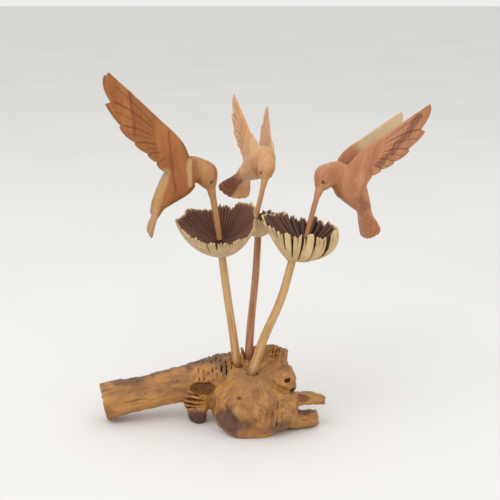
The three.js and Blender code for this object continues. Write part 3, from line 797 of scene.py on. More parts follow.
    def sample_tail(self, x: Array, y: Array, z: Array) -> Array:
        """Sample the fan of the tail, with scallops at its end and shallow lines down it."""
        down, off = self.tail_frame(x, z)
        end = self.tail_half[1] * self.tail_width
        share = np.clip(down / self.tail_length, 0, 1)
        width = self.tail_half[0] + (end - self.tail_half[0]) * np.sin(share * math.pi / 2)
        across = np.clip(y / (end * 0.9), -1, 1)
        arch = self.tail_length * (0.86 + 0.14 * np.cos(across * math.pi / 2))
        scallop = 0.9 * np.abs(np.sin(self.tail_scallops * math.pi * (across + 1) / 2))
        flat = blend_max(np.abs(y) - width, down - arch - scallop, 4.0)
        flat = np.maximum(flat, -down - 6)
        lines = np.abs(np.sin(self.tail_scallops * math.pi * (np.clip(y / width, -1, 1) + 1) / 2))
        cut = 0.45 * (1 - ease(0, 0.28, lines)) * ease(0.25, 0.5, share)
        cup = self.tail_cup * (y / end) ** 2 * ease(0, 0.6, share)
        thick = self.tail_thickness * (1 - 0.5 * share)
        edge = flat + 0.8
        slab = np.abs(off + cup) - thick / 2 + cut + 0.8
        corner = np.sqrt(np.maximum(edge, 0) ** 2 + np.maximum(slab, 0) ** 2)
        return corner + np.minimum(np.maximum(edge, slab), 0) - 0.8

    def eye_middle(self) -> Point3:
        """Give the middle of the left eye, on the head's surface."""
        spine = self.spine(self.head, False)
        gap, along = line_distance(spine[:, :2], np.array([self.eye[0]]), np.array([self.eye[1]]))
        runs = np.linalg.norm(np.diff(spine[:, :2], axis=0), axis=1)
        ends = np.concatenate([[0], np.cumsum(runs)]) / runs.sum()
        up, side = np.interp(along, ends, spine[:, 2])[0], np.interp(along, ends, spine[:, 3])[0]
        return self.eye[0], side * math.sqrt(max(1 - (gap[0] / up) ** 2, 0.05)) - 0.4 - 0.5 * self.mask, self.eye[1]

    def cheek(self, x: Array, z: Array) -> Array:
        """Give the hollowed patch behind the eye, 1 in it and 0 outside."""
        dx, dz = x - 2.2, z - 11.6
        a, b = dx * 0.42 + dz * 0.907, dx * 0.907 - dz * 0.42
        return 1 - ease(0.78, 1.0, np.sqrt((a / 10.2) ** 2 + (b / 5.6) ** 2))

    def sample(self, x: Array, y: Array, z: Array) -> Array:
        """Sample the whole bird."""
        trunk = self.limb(self.spine(self.body, True), x, y, z, 2.0 + self.planed)
        skull = self.limb(self.spine(self.head, False), x, y, z)
        if self.mask:
            skull = skull + self.mask * self.cheek(x, z) * ease(2.5, 4.5, np.abs(y))
        solid = blend_min(trunk, skull, 2.6)
        if self.flank:
            fx, fz = self.turned(np.float32(33.0), np.float32(15.5), self.neck, self.pitch)
            dx, dz = x - fx, z - fz
            a, b = dx * 0.45 + dz * 0.893, dx * 0.893 - dz * 0.45
            bulge = np.sqrt((a / 13.0) ** 2 + (b / 9.0) ** 2 + ((np.abs(y) - 4.5) / (8.2 + self.flank)) ** 2)
            solid = blend_min(solid, (bulge - 1) * 8.0, 1.2)
        solid = blend_min(solid, self.sample_tail(x, y, z), 4.5)
        length = self.bill_length + 2
        down = np.clip((2 - z) / length, 0, 1)
        radius = self.bill_root + (self.bill_tip - self.bill_root) * down
        side = np.sqrt((x - 0.4 + 1.2 * down * (1 - down)) ** 2 + y**2) - radius
        beak = np.maximum(side, np.abs(z - 2 + length / 2) - length / 2)
        solid = blend_min(solid, beak, 2.2)
        solid = blend_min(solid, self.sample_wings(x, y, z), 1.6)
        eye = self.eye_middle()
        ball = np.sqrt((x - eye[0]) ** 2 + (np.abs(y) - eye[1]) ** 2 + (z - eye[2]) ** 2)
        solid = blend_max(solid, 1.35 - ball, 0.5)
        return np.minimum(solid, ball - 0.95)

    def marks(self, own: Array) -> dict[str, Array]:
        """Give what the material reads at each point of the bird."""
        x, y, z = own.T
        flat = self.wing_edge(x, y, z)
        share = self.wing_share(x, z)
        out = self.wing_root_out + (self.wing_out - self.wing_root_out) * share
        outer = ease(-1.6, -0.9, np.abs(y) - out) * (1 - ease(-0.4, 0.6, flat))
        # The "cut" mark is painted shade: it darkens the feather grooves on the wings' outer faces.
        cut = self.groove_depth(x, z) * outer
        found = {"own": own, "cut": cut}
        for name in ("pale", "stain"):
            total = np.zeros(len(own), np.float32)
            for stroke in self.strokes:
                if stroke.mark == name:
                    total = np.maximum(total, stroke.at(own))
            found[name] = total
        # Strokes marked "cut" add painted shade: dark lines where creases would be shaded, with no groove carved under
        # them.
        for stroke in self.strokes:
            if stroke.mark == "cut":
                found["cut"] = np.maximum(found["cut"], stroke.at(own))
        eye = self.eye_middle()
        ball = np.sqrt((x - eye[0]) ** 2 + (np.abs(y) - eye[1]) ** 2 + (z - eye[2]) ** 2)
        found["eye"] = 0.85 * (1 - ease(1.0, 1.7, ball))
        spot = np.sqrt((x - eye[0]) ** 2 + (z - eye[2]) ** 2) + 3 * ease(1.1, 1.6, ball)
        found["glint"] = 1 - ease(0.2, 0.7, spot)
        return found

    def axes(self) -> Array:
        """Give the bird's own X, Y and Z in the frame, one column each."""
        yaw, lean, roll = (math.radians(d) for d in (self.yaw, self.lean, self.roll))
        front = np.array([math.cos(yaw), math.sin(yaw), 0])
        up = np.array([0, 0, math.cos(lean)]) - front * math.sin(lean)
        back = np.array([0, 0, -math.sin(lean)]) - front * math.cos(lean)
        left = np.cross([0, 0, 1], front)
        return np.stack(
            [back, left * math.cos(roll) - up * math.sin(roll), up * math.cos(roll) + left * math.sin(roll)], axis=1
        )

    def build(self) -> None:
        """Carve the bird and stand it on its bill."""
        grid = Grid((-12.0, -27.0, -47.0), (88.0, 27.0, 122.0), self.cell)
        values = self.sample(*grid.axes())
        own, quads, outward = grid.skin(values.astype(np.float32))
        facets = layered(own * (0.16, 0.16, 0.07), 11, 2)
        own = own + outward * (0.16 * facets * ease(-3, 3, own[:, 2]))[:, None]
        points = np.array(self.root) + own @ self.axes().T
        piece = make_piece(self.node + "_carved", points, quads, self.marks(own), self.wood.make())
        hand_in(piece, self.node)


@dataclass(frozen=True)
class Slit:
    """A gap in a flower's wall, from the rim down."""

    turn: float
    width: float
    depth: float


@dataclass
class Flower:
    """A dried woody flower: a pleated dish, dark inside, sanded outside."""

    node: str
    foot: Point3
    rim_radius: tuple
    rim_height: tuple
    belly: tuple
    heart: Point3
    slits: tuple[Slit, ...]
    pleats: int
    pleat_depth: float
    teeth: float
    seed: int
    finish: DriedFlower
    slot: str = "dried_flower"
    lobes: int = 9
    lobe_rise: float = 1.6
    columns: int = 640
    rows_out: int = 26
    rows_in: int = 44
    foot_radius: float = 4.6
    wall: float = 2.6
    rim_wall: float = 1.1

    def round_value(self, values: tuple, angle: Array) -> Array:
        """Read eight numbers given every 45 degrees, with a smooth curve through them."""
        place = (angle / (2 * math.pi) % 1) * 8
        low = np.floor(place).astype(int)
        share = (1 - np.cos(math.pi * (place - low))) / 2
        numbers = np.array(values, float)
        return numbers[low % 8] * (1 - share) + numbers[(low + 1) % 8] * share

    def pleat(self, angle: Array) -> Array:
        """Give the pleats round the dish, 0 in a valley and 1 on a crest."""
        wander = 0.9 * np.sin(5 * angle + self.seed) + 0.6 * np.sin(11 * angle + 2 * self.seed)
        return np.abs(np.sin(self.pleats * angle / 2 + wander))

    def ragged(self, angle: Array, fineness: float, seed: int) -> Array:
        """Give noise from -1 to 1 that closes round the circle."""
        ring = np.stack([np.cos(angle) * fineness + 9, np.sin(angle) * fineness + 9, np.full_like(angle, seed)], 1)
        return waves(ring, self.seed + seed)

    def build(self) -> None:
        """Model the flower, hang it on the root body and hide the frame's solid for it."""
        angle = np.arange(self.columns) / self.columns * 2 * math.pi
        foot, heart = np.array(self.foot), np.array(self.heart)
        direction = np.stack([np.cos(angle), np.sin(angle), 0 * angle], axis=1)
        pleat = self.pleat(angle)
        valley = 1 - ease(0.0, 0.42, pleat)
        lobe = np.abs(np.sin(self.lobes * angle / 2 + 0.7 * np.sin(3 * angle + self.seed)))
        jag = 0.9 * self.ragged(angle, 14, 1) + 0.7 * self.ragged(angle, 34, 2)
        radius = self.round_value(self.rim_radius, angle) + 0.4 * jag
        height = self.round_value(self.rim_height, angle)
        notch = self.teeth * valley * (0.55 + 0.45 * self.ragged(angle, 12, 3))
        for slit in self.slits:
            turn = (angle - math.radians(slit.turn) + math.pi) % (2 * math.pi) - math.pi
            gap = np.abs(turn) * radius
            notch = np.maximum(notch, slit.depth * (1 - ease(0.34 * slit.width, 0.62 * slit.width, gap)))
        top = height + jag + self.lobe_rise * (lobe - 0.6) - notch
        rows, inner, crest, low = [], [], [], []
        bulge = self.round_value(self.belly, angle)
        bend_out = radius * (0.5 + 0.42 * bulge)
        bend_up = height * np.maximum(0.5 - 0.42 * bulge, 0)
        reach = np.clip(top / np.maximum(height, 1), 0.15, 1.15)
        for i in range(self.rows_out + 1):
            t = i / self.rows_out * np.minimum(reach, 1.06)
            out = (1 - t) ** 2 * self.foot_radius + 2 * t * (1 - t) * bend_out + t * t * radius
            up = 2 * t * (1 - t) * bend_up + t * t * height
            tier = i / self.rows_out
            rows.append(foot + direction * out[:, None] + np.array([0, 0, 1]) * up[:, None])
            inner.append(ease(0.72, 1.0, np.full_like(angle, tier)) * valley * 0.9)
            crest.append(pleat)
            low.append(1 - ease(0.25, 0.75, np.full_like(angle, tier)))
        rim = rows[-1]
        for i in range(self.rows_in, -1, -1):
            s = i / self.rows_in
            wall = self.rim_wall + (self.wall - self.rim_wall) * ease(0, 0.3, np.full_like(angle, 1 - s))
            edge = rim - direction * wall[:, None]
            start = heart + direction * 1.2
            row = start + (edge - start) * s
            sag = 0.64 * height * s * (1 - s)
            fold = self.pleat_depth * (pleat - 0.5) * np.minimum(s * 2.2, 1) * (1 - 0.35 * s)
            fine = 0.35 * self.ragged(angle, 60, 5) * s
            row = row + np.array([0, 0, 1]) * (fold + fine - sag)[:, None]
            rows.append(row)
            inner.append(ease(-0.001, 0.03, np.full_like(angle, 1 - s)))
            crest.append(pleat * (0.4 + 0.6 * s))
            low.append(np.zeros_like(angle))
        points = np.vstack(rows)
        count = len(rows)
        number = np.arange(count * self.columns).reshape(count, self.columns)
        ahead = np.roll(number, -1, axis=1)
        quads = np.stack([number[:-1], ahead[:-1], ahead[1:], number[1:]], axis=-1).reshape(-1, 4)
        ends = np.array([foot, rows[-1].mean(axis=0)])
        points = np.vstack([points, ends])
        first, last = len(points) - 2, len(points) - 1
        base = np.stack([ahead[0], number[0], np.full(self.columns, first), np.full(self.columns, first)], axis=1)
        core = np.stack([number[-1], ahead[-1], np.full(self.columns, last), np.full(self.columns, last)], axis=1)
        quads = np.vstack([quads, base, core])
        marks = {
            "own": points - foot,
            "inner": np.concatenate([np.concatenate(inner), [0, 1]]),
            "crest": np.concatenate([np.concatenate(crest), [0, 0]]),
            "low": np.concatenate([np.concatenate(low), [1, 0]]),
        }
        piece = make_piece(self.node + "_dried", points, quads, marks, self.finish.make())
        hand_in(piece, self.node)


@dataclass
class Stem:
    """A whittled stem from inside the root to inside its flower."""

    node: str
    slot: str
    start: Point3
    end: Point3
    low: float
    high: float
    wood: WhittledStem
    bends: tuple[float, ...]
    sink: float = 9.0
    tenon: float = 5.0
    sides: int = 28
    rows: int = 90

    def ends(self) -> tuple[Array, Array]:
        """Give the two ends of the stem, inside the root and inside its flower."""
        start, end = np.array(self.start), np.array(self.end)
        direction = (end - start) / np.linalg.norm(end - start)
        return start - direction * self.sink, end + direction * self.tenon

    def axis(self, steps: int) -> Array:
        """Give the middle of the stem at even steps, bent as the wood is."""
        start, end = self.ends()
        count = len(self.bends) - 1
        line = [start + (end - start) * i / count + np.array([bend, 0, 0]) for i, bend in enumerate(self.bends)]
        return through(line, steps // count)

    def build(self) -> None:
        """Model the stem, hang it on the root body and hide the frame's solid for it."""
        start, end = self.ends()
        direction = (end - start) / np.linalg.norm(end - start)
        middles = self.axis(self.rows)
        side = np.cross([0, 1, 0], direction)
        side /= np.linalg.norm(side)
        across = np.cross(direction, side)
        angle = np.arange(self.sides) / self.sides * 2 * math.pi
        length = np.linalg.norm(end - start)
        rings, own, feet = [], [], []
        for i in range(self.rows + 1):
            share = i / self.rows
            radius = self.low + (self.high - self.low) * share
            faces = 0.12 * np.cos(6 * angle + 1.5 * math.sin(5 * share)) + 0.1 * np.sin(2 * angle + 9 * share)
            middle = middles[i]
            reach = radius + faces - 0.15
            rings.append(
                middle + side * (np.cos(angle) * reach)[:, None] + across * (np.sin(angle) * reach)[:, None]
            )
            own.append(np.stack([np.cos(angle) * reach, np.sin(angle) * reach, np.full(self.sides, share * length)], 1))
            feet.append(np.full(self.sides, float(1 - ease(self.sink, self.sink + 9, np.array(share * length)))))
        number = np.arange((self.rows + 1) * self.sides).reshape(self.rows + 1, self.sides)
        ahead = np.roll(number, -1, axis=1)
        quads = np.stack([number[:-1], ahead[:-1], ahead[1:], number[1:]], axis=-1).reshape(-1, 4)
        points = np.vstack(rings + [start[None], end[None]])
        first, last = len(points) - 2, len(points) - 1
        base = np.stack([ahead[0], number[0], np.full(self.sides, first), np.full(self.sides, first)], axis=1)
        cap = np.stack([number[-1], ahead[-1], np.full(self.sides, last), np.full(self.sides, last)], axis=1)
        marks = {
            "own": np.vstack(own + [np.zeros((1, 3)), np.array([[0, 0, length]])]),
            "low": np.concatenate(feet + [[1.0, 0.0]]),
        }
        piece = make_piece(self.node + "_whittled", points, np.vstack([quads, base, cap]), marks, self.wood.make())
        hand_in(piece, self.node)


@dataclass(frozen=True)
class Limb:
    """One limb of the root: its stations are X, Y, Z, half height and half depth."""

    stations: tuple
    across: Point3
    seed: float


@dataclass(frozen=True)
class Stain:
    """A soft patch of another colour on the root."""

    mark: str
    middle: Point3
    half: Point3
    strength: float = 1.0

    def at(self, points: Array) -> Array:
        """Give the patch's strength at points."""
        gap = np.linalg.norm((points - np.array(self.middle)) / np.array(self.half), axis=1)
        return self.strength * (1 - ease(0.55, 1.15, gap + 0.28 * layered(points * 0.11, 21, 3)))


@dataclass
class Root:
    """The gnarled root that the stems stand in."""

    node: str
    slot: str
    wood: RootWood
    stems: tuple[Stem, ...]
    cell: float = 0.9
    limbs: tuple[Limb, ...] = (
        Limb(
            (
                (-131.5, 9, 17.0, 16.2, 15.0),
                (-120, 11, 19.2, 16.4, 15.4),
                (-100, 14, 23.5, 15.4, 14.8),
                (-80, 17, 28.0, 15.0, 14.6),
                (-60, 19, 32.0, 16.8, 16.2),
                (-40, 19, 35.5, 20.0, 19.0),
                (-22, 20, 37.0, 21.5, 22.0),
                (0, 22, 36.0, 18.0, 18.0),
            ),
            (0, 1, 0),
            0.4,
        ),
        Limb(
            ((-44, 16, 31.0, 12.0, 14.0), (-47, 9, 20.0, 12.5, 13.5), (-47, 8, 9.0, 10.0, 9.0), (-46, 9, -2.0, 7.0, 6.5)),
            (1, 0, 0),
            1.9,
        ),
        Limb(
            (
                (-16, 25, 36.0, 18.0, 13.0),
                (-6, 25, 41.5, 22.5, 15.0),
                (8, 24, 42.0, 23.5, 17.5),
                (20, 21, 42.5, 23.5, 18.5),
                (28, 18, 41.5, 22.5, 17.5),
            ),
            (0, 1, 0),
            3.1,
        ),
        Limb(
            ((-6, -14, 24.0, 17.0, 18.0), (14, -17, 21.0, 18.5, 17.0), (30, -14, 19.5, 15.0, 13.5), (39, -11, 19.5, 11.5, 10.5)),
            (0, 1, 0),
            4.6,
        ),
        Limb(
            ((26, -11, 26.0, 8.5, 9.5), (44, -9, 28.6, 6.0, 7.5), (58, -7, 27.6, 5.2, 6.4), (66, -6, 25.6, 3.2, 4.2)),
            (0, 1, 0),
            2.2,
        ),
        Limb(
            ((24, -12, 12.0, 9.5, 10.0), (40, -8, 9.0, 8.2, 8.6), (52, -4, 7.6, 7.8, 7.4), (60, -2, 8.0, 6.4, 6.4)),
            (0, 1, 0),
            5.5,
        ),
    )
    hub: tuple[Point3, Point3] = ((2, 6, 17), (35, 41, 35.5))
    knob: tuple[Point3, Point3] = ((28.5, 5, 40), (13, 15, 15))
    hollows: tuple = (((-41, 4, 33.5), (12, 9, 6)), ((2, 2, 73), (30, 30, 24)))
    grain_heart: Point3 = (4.0, -6.0, 44.0)
    grain_gap: float = 60.0
    pits: tuple = (
        ((17.6, -21, 44.8), (2.4, 2.6, 2.2)),
        ((7.7, -20, 48.0), (2.0, 2.2, 1.6)),
        ((-10.5, -27, 36), (3.2, 2.6, 1.7)),
        ((33, -7, 45), (2.6, 4, 1.8)),
        ((37, -3, 34), (2.2, 4, 1.8)),
        ((41, -14, 17.5), (4.5, 4, 1.6)),
    )
    stains: tuple[Stain, ...] = (
        Stain("deep", (-112, 14, 39), (22, 12, 8)),
        Stain("deep", (-84, 20, 44), (24, 12, 8)),
        Stain("deep", (-56, 22, 50), (24, 13, 8)),
        Stain("deep", (-32, 20, 58), (18, 14, 7)),
        Stain("deep", (-24, 8, 48), (5, 14, 16)),
        Stain("deep", (48, -6, 17), (13, 9, 4)),
        Stain("deep", (32, 6, 60), (5, 14, 10), 0.8),
        Stain("bright", (-90, 0, 20), (40, 10, 11)),
        Stain("bright", (-48, -4, 24), (10, 7, 8)),
        Stain("bright", (50, -14, 24), (16, 6, 6), 0.8),
        Stain("sanded", (2, -8, 50), (24, 20, 9)),
        Stain("purple", (-16, -27, 13), (17, 13, 15)),
        Stain("purple", (-47, 0, 6), (11, 10, 9)),
        Stain("purple", (30, -30, 10), (16, 9, 8), 0.7),
        Stain("red", (46, -14, 31), (7, 6, 4)),
        Stain("red", (59, -3, 8), (5, 8, 8), 0.8),
        Stain("pit", (-41, 6, 34), (10, 8, 5), 0.9),
    )

    @staticmethod
    def ripple(t: Array, angle: Array, seed: float) -> Array:
        """Give the long ripples that follow a limb, as a share of its size."""
        return (
            0.055 * np.sin(3 * angle + 5 * t + seed)
            + 0.033 * np.sin(5 * angle - 9 * t + 2.3 * seed)
            + 0.0275 * np.sin(17 * t + 2 * angle + seed)
        )

    @staticmethod
    def chord(limb: Limb) -> tuple[Array, Array]:
        """Give a limb's first place, and its straight direction with two directions square to it, one column each."""
        rows = np.array(limb.stations, float)[:, :3]
        along = (rows[-1] - rows[0]) / np.linalg.norm(rows[-1] - rows[0])
        side = np.array(limb.across) - along * float(along @ np.array(limb.across))
        side /= np.linalg.norm(side)
        return rows[0], np.stack([along, side, np.cross(along, side)], axis=1)

    def sample_limb(self, limb: Limb, x: Array, y: Array, z: Array) -> Array:
        """Sample one limb, with its ripples and its sawn or broken ends.

        Args:
            limb: The limb.
            x: Sampled X.
            y: Sampled Y.
            z: Sampled Z.

        Returns:
            The distances, less than zero inside.
        """
        spine = through(limb.stations, 5)
        shape = np.broadcast(x, y, z).shape
        best = np.full(shape, np.inf, np.float32)
        rise, reach, size, over = np.zeros((4,) + shape, np.float32)
        for a, b in zip(spine[:-1], spine[1:]):
            step = b[:3] - a[:3]
            length = float(np.linalg.norm(step))
            along = step / length
            side = np.array(limb.across) - along * float(along @ np.array(limb.across))
            side /= np.linalg.norm(side)
            up = np.cross(along, side)
            rel = [x - a[0], y - a[1], z - a[2]]
            t = sum(r * c for r, c in zip(rel, along)) / length
            held = np.clip(t, 0, 1)
            gap = [r - held * length * c for r, c in zip(rel, along)]
            far = sum(g**2 for g in gap)
            nearer = far < best
            best = np.where(nearer, far, best)
            half_up, half_side = a[3] + (b[3] - a[3]) * held, a[4] + (b[4] - a[4]) * held
            rise = np.where(nearer, sum(g * c for g, c in zip(gap, up)) / half_up, rise)
            reach = np.where(nearer, sum(g * c for g, c in zip(gap, side)) / half_side, reach)
            size = np.where(nearer, np.minimum(half_up, half_side), size)
            over = np.where(nearer, np.abs(t - held) * length, over)
        start, frame_of_limb = self.chord(limb)
        run = float(np.linalg.norm(np.array(limb.stations[-1][:3]) - start))
        share = sum((v - s) * c for v, s, c in zip((x, y, z), start, frame_of_limb[:, 0])) / run
        swell = 1 + self.ripple(np.clip(share, 0, 1), np.arctan2(reach, rise), limb.seed)
        distance = (np.sqrt(rise**2 + reach**2) / swell - 1) * size
        return np.where(over > 0, np.maximum(distance, over), distance)

    @staticmethod
    def lump(middle: Point3, half: Point3, x: Array, y: Array, z: Array, burl: bool = False) -> Array:
        """Sample an ellipsoid, with the lumps of a burl if asked."""
        px, py, pz = ((v - m) / h for v, m, h in zip((x, y, z), middle, half))
        out = np.sqrt(px**2 + py**2 + pz**2)
        if burl:
            ux, uy, uz = (v / np.maximum(out, 0.2) for v in (px, py, pz))
            out = out / (
                1
                + 0.035 * np.sin(7 * ux + 4 * uy + 2)
                + 0.03 * np.sin(9 * uy - 6 * uz)
                + 0.03 * np.sin(11 * uz + 5 * ux + 1)
            )
        return (out - 1) * min(half)

    def grains(self, points: Array) -> list[tuple[Array, Array]]:
        """Give, for each limb and then the hub, its distance from points and the points' places in its grain."""
        x, y, z = (c.astype(np.float32) for c in points.T)
        found = []
        for index, limb in enumerate(self.limbs):
            start, frame_of_limb = self.chord(limb)
            found.append((self.sample_limb(limb, x, y, z), (points - start) @ frame_of_limb + self.grain_gap * index))
        rel = points - np.array(self.grain_heart)
        out = np.linalg.norm(rel, axis=1)
        turn = rel[:, :2] / np.maximum(out, 1)[:, None] * self.hub[1][0] + self.grain_gap * len(self.limbs)
        found.append((self.lump(*self.hub, x, y, z, burl=True), np.column_stack([out * 1.3, turn])))
        return found

    def ridges(self, points: Array) -> Array:
        """Give the long ridges of the weathered grain, blended where limbs meet."""
        total = np.zeros(len(points))
        weights = np.zeros(len(points))
        for distance, place in self.grains(points):
            weight = np.exp(-np.maximum(distance, -2) / 1.5) + 1e-9
            total += weight * layered(place * (0.04, 0.26, 0.26), 31, 3)
            weights += weight
        return total / weights

    def build(self) -> None:
        """Model the root, hang it on the root body and hide the frame's solid for it."""
        grid = Grid((-136.0, -39.0, -3.0), (72.0, 50.0, 72.0), self.cell)
        axes = grid.axes()
        far = np.float32(1e3)
        values = np.full([len(a.ravel()) for a in axes], far, np.float32)
        for limb in self.limbs:
            rows = np.array(limb.stations)
            reach = rows[:, 3:].max() * 1.2 + 8
            low, high = rows[:, :3].min(0) - reach, rows[:, :3].max(0) + reach
            part = tuple(
                slice(int(np.searchsorted(a.ravel(), lo)), int(np.searchsorted(a.ravel(), hi)))
                for a, lo, hi in zip(axes, low, high)
            )
            block = [axes[0][part[0]], axes[1][:, part[1]], axes[2][:, :, part[2]]]
            values[part] = blend_min(values[part], self.sample_limb(limb, *block), 3.2)
        values = blend_min(values, self.lump(*self.hub, *axes, burl=True), 4.0)
        values = blend_min(values, self.lump(*self.knob, *axes, burl=True), 3.0)
        for middle, half in self.hollows:
            values = blend_max(values, -self.lump(middle, half, *axes), 2.5)
        for middle, half in self.pits:
            values = blend_max(values, -self.lump(middle, half, *axes), 1.2)
        for stem in self.stems:
            gap, _ = line_distance(stem.axis(stem.rows)[: stem.rows // 3], *axes)
            values = blend_max(values, stem.low + 0.35 - gap, 0.8)
        values = np.maximum(values, -axes[2])
        points, quads, outward = grid.skin(values.astype(np.float32))
        marks = self.marks(points)
        level = ease(0.2, 2.5, points[:, 2])
        lumps = layered(points * 0.17, 41, 4)
        rise = level * (0.7 * self.ridges(points) + 0.7 * lumps - 0.6 * marks["pit"] - 0.2)
        points = points + outward * rise[:, None]
        points[:, 2] = np.maximum(points[:, 2], 0)
        piece = make_piece(self.node + "_gnarled", points, quads, marks, self.wood.make())
        hand_in(piece, self.node)

    def marks(self, points: Array) -> dict[str, Array]:
        """Give what the material reads at each point of the root."""
        nearest = np.full(len(points), np.inf)
        fibre = np.zeros((len(points), 3))
        for distance, place in self.grains(points):
            nearer = distance < nearest
            nearest = np.where(nearer, distance, nearest)
            fibre = np.where(nearer[:, None], place, fibre)
        found = {"own": points, "fibre": fibre}
        for name in ("sanded", "bright", "purple", "red", "deep", "pit"):
            total = np.zeros(len(points), np.float32)
            for stain in self.stains:
                if stain.mark == name:
                    total = np.maximum(total, stain.at(points))
            found[name] = total
        for middle, half in self.pits:
            near = 1 - ease(0.85, 1.25, np.linalg.norm((points - np.array(middle)) / np.array(half), axis=1))
            found["pit"] = np.maximum(found["pit"], near)
        return found


@dataclass
class Studio:
    """The camera, the pale floor and the soft lights."""

    lens: float = 80.0
    sensor: float = 36.0
    elevation: float = 15.0
    distance: float = 955.6
    aim: Point3 = (0.0, 0.0, 162.0)
    floor_half: float = 4.0

    def build(self) -> None:
        """Set up the camera, floor and lights."""
        scene = bpy.context.scene
        camera = bpy.data.objects.new("camera", bpy.data.cameras.new("camera"))
        camera.data.lens = self.lens
        camera.data.sensor_width = self.sensor
        camera.data.clip_end = 50
        tilt = math.radians(self.elevation)
        away = Vector((0, -math.cos(tilt), math.sin(tilt))) * self.distance
        camera.location = (Vector(self.aim) + away) * MM
        camera.rotation_euler = (math.pi / 2 - tilt, 0, 0)
        scene.collection.objects.link(camera)
        scene.camera = camera
        self.floor()
        self.light("key", (-0.75, -0.95, 1.5), 1.5, 12)
        self.light("fill", (1.3, -0.9, 1.0), 1.6, 3)
        self.light("top", (0.1, 0.4, 1.9), 1.8, 5)
        world = bpy.data.worlds.new("studio")
        world.use_nodes = True
        world.node_tree.nodes["Background"].inputs[0].default_value = (1.0, 0.995, 0.985, 1)
        world.node_tree.nodes["Background"].inputs[1].default_value = 0.85
        scene.world = world
        scene.view_settings.view_transform = "Standard"
        scene.view_settings.look = "None"

    def floor(self) -> None:
        """Lay the pale floor."""
        half = self.floor_half
        mesh = bpy.data.meshes.new("floor")
        corners = [(-half, -half, 0), (half, -half, 0), (half, half * 2, 0), (-half, half * 2, 0)]
        mesh.from_pydata(corners, [], [(0, 1, 2, 3)])
        graph = Graph("pale_floor")
        place = graph.add("ShaderNodeTexCoord").outputs["Object"]
        cloud = graph.noise(place, 3.0, 2, 0.5)
        color = graph.mix(graph.span(cloud, 0.3, 0.7), tone(226, 225, 222), tone(229, 228, 226))
        mesh.materials.append(graph.finish(color, 0.8, graph.bump(graph.noise(place, 400, 2, 0.5), 0.0001, 0.2)))
        floor = bpy.data.objects.new("floor", mesh)
        bpy.context.scene.collection.objects.link(floor)

    def light(self, name: str, place: Point3, size: float, power: float) -> None:
        """Hang one soft square light that faces the carving."""
        data = bpy.data.lights.new(name, "AREA")
        data.size = size
        data.energy = power
        lamp = bpy.data.objects.new(name, data)
        lamp.location = place
        aim = Vector(self.aim) * MM - Vector(place)
        lamp.rotation_euler = aim.to_track_quat("-Z", "Y").to_euler()
        bpy.context.scene.collection.objects.link(lamp)


def make_birds() -> tuple[Bird, ...]:
    """Give the three birds, each as its carver made it."""
    brown = CarvedWood(
        "left_bird_brown_wood",
        light=tone(170, 106, 44),
        middle=tone(146, 82, 30),
        dark=tone(88, 42, 16),
        pale=tone(196, 160, 108),
        stain=tone(112, 48, 20),
    )
    tan = CarvedWood(
        "middle_bird_tan_wood",
        light=tone(206, 156, 104),
        middle=tone(186, 132, 84),
        dark=tone(128, 74, 42),
        pale=tone(216, 176, 124),
        stain=tone(106, 46, 28),
        fleck=0.35,
    )
    red = CarvedWood(
        "right_bird_reddish_wood",
        light=tone(190, 130, 88),
        middle=tone(166, 106, 66),
        dark=tone(110, 58, 34),
        pale=tone(214, 190, 148),
        stain=tone(112, 58, 44),
        fleck=0.35,
    )
    right = Side.RIGHT
    left = Side.LEFT
    return (
        Bird(
            "bird_left", "bird_wood_brown", brown, (-32.3, 0, 215.3), 12.7, 7.3, 8.8, -0.7, 1, 1, 0, 20.1, 0.953, 1, 1, 1,
            1, 2.9, 2.5,
            strokes=(
                Stroke("stain", ((56.5, 92.0), (57.0, 80.0), (57.1, 68.8), (58.0, 60.0), (59.1, 53.6)), 2.0, right, 0.7),
                Stroke("stain", ((29.8, 53.7), (31.0, 40.0), (31.6, 27.4), (32.2, 14.0), (32.6, 2.7)), 1.8, right, 0.6),
                Stroke("pale", ((16.0, 27.0), (18.0, 18.0), (19.0, 8.0)), 3.6, Side.BOTH, 0.85, 0.2),
                # Painted shade: a dark line in a crease down the body behind the head, beside the pale band.
                Stroke("cut", ((13.6, 26.0), (15.4, 16.0), (16.6, 6.0)), 0.9, Side.BOTH, 0.8, 0.2),
                Stroke("pale", ((6.0, 24.0), (3.0, 14.0), (1.0, 4.0), (0.5, -20.0), (0.5, -44.0)), 11.0, Side.BOTH, 0.45, 0.4),
                # Painted highlight: a pale line along the back and down the tail, where light catches the curled near
                # edge.
                Stroke("pale", ((37.0, 21.0), (46.0, 2.0), (59.0, -26.0)), 5.0, Side.BOTH, 0.6, 0.3),
            ),
            planed=0.7,
        ),
        Bird(
            "bird_middle", "bird_wood_pale", tan, (13.2, 66, 209.0), -65.2, 17.7, 22.4, 24.4, 1.04, 1, -9.1, 19.5, 0.94,
            0.76, 1, 0.84, 1.12, 2.5, 2.1,
            strokes=(
                Stroke("stain", ((66.0, 2.0), (84.0, -6.0)), 26.0, right, 1.0, 0.1),
                Stroke("pale", ((14.0, 27.0), (24.0, 40.0)), 9.0, Side.BOTH, 0.6),
            ),
        ),
        Bird(
            "bird_right", "bird_wood_reddish", red, (59.1, 15, 211.6), 203.8, 26.8, -18.2, 9.1, 0.975, 1.14, -2.2, 21.1,
            1.011, 1, 0.5, 1, 1, 2.5, 2.1,
            strokes=(
                Stroke("stain", ((70.0, 97.0), (62.8, 77.2), (53.5, 56.3), (45.0, 40.0)), 4.2, left, 0.75),
                Stroke("pale", ((80.0, 118.0), (60.0, 86.0), (47.0, 66.0)), 26.0, right, 0.95, 0.1),
                Stroke("stain", ((40.0, 5.0), (47.0, 2.0)), 5.0, left, 0.6),
                # Painted shade: a dark line where the crease on the belly would be shaded.
                Stroke("cut", ((19.2, 3.1), (26.6, 0.5), (36.0, -1.6)), 0.9, left, 0.8, 0.1),
            ),
            eye=(-0.6, 6.0),
            mask=0.75,
            flank=1.3,
        ),
    )


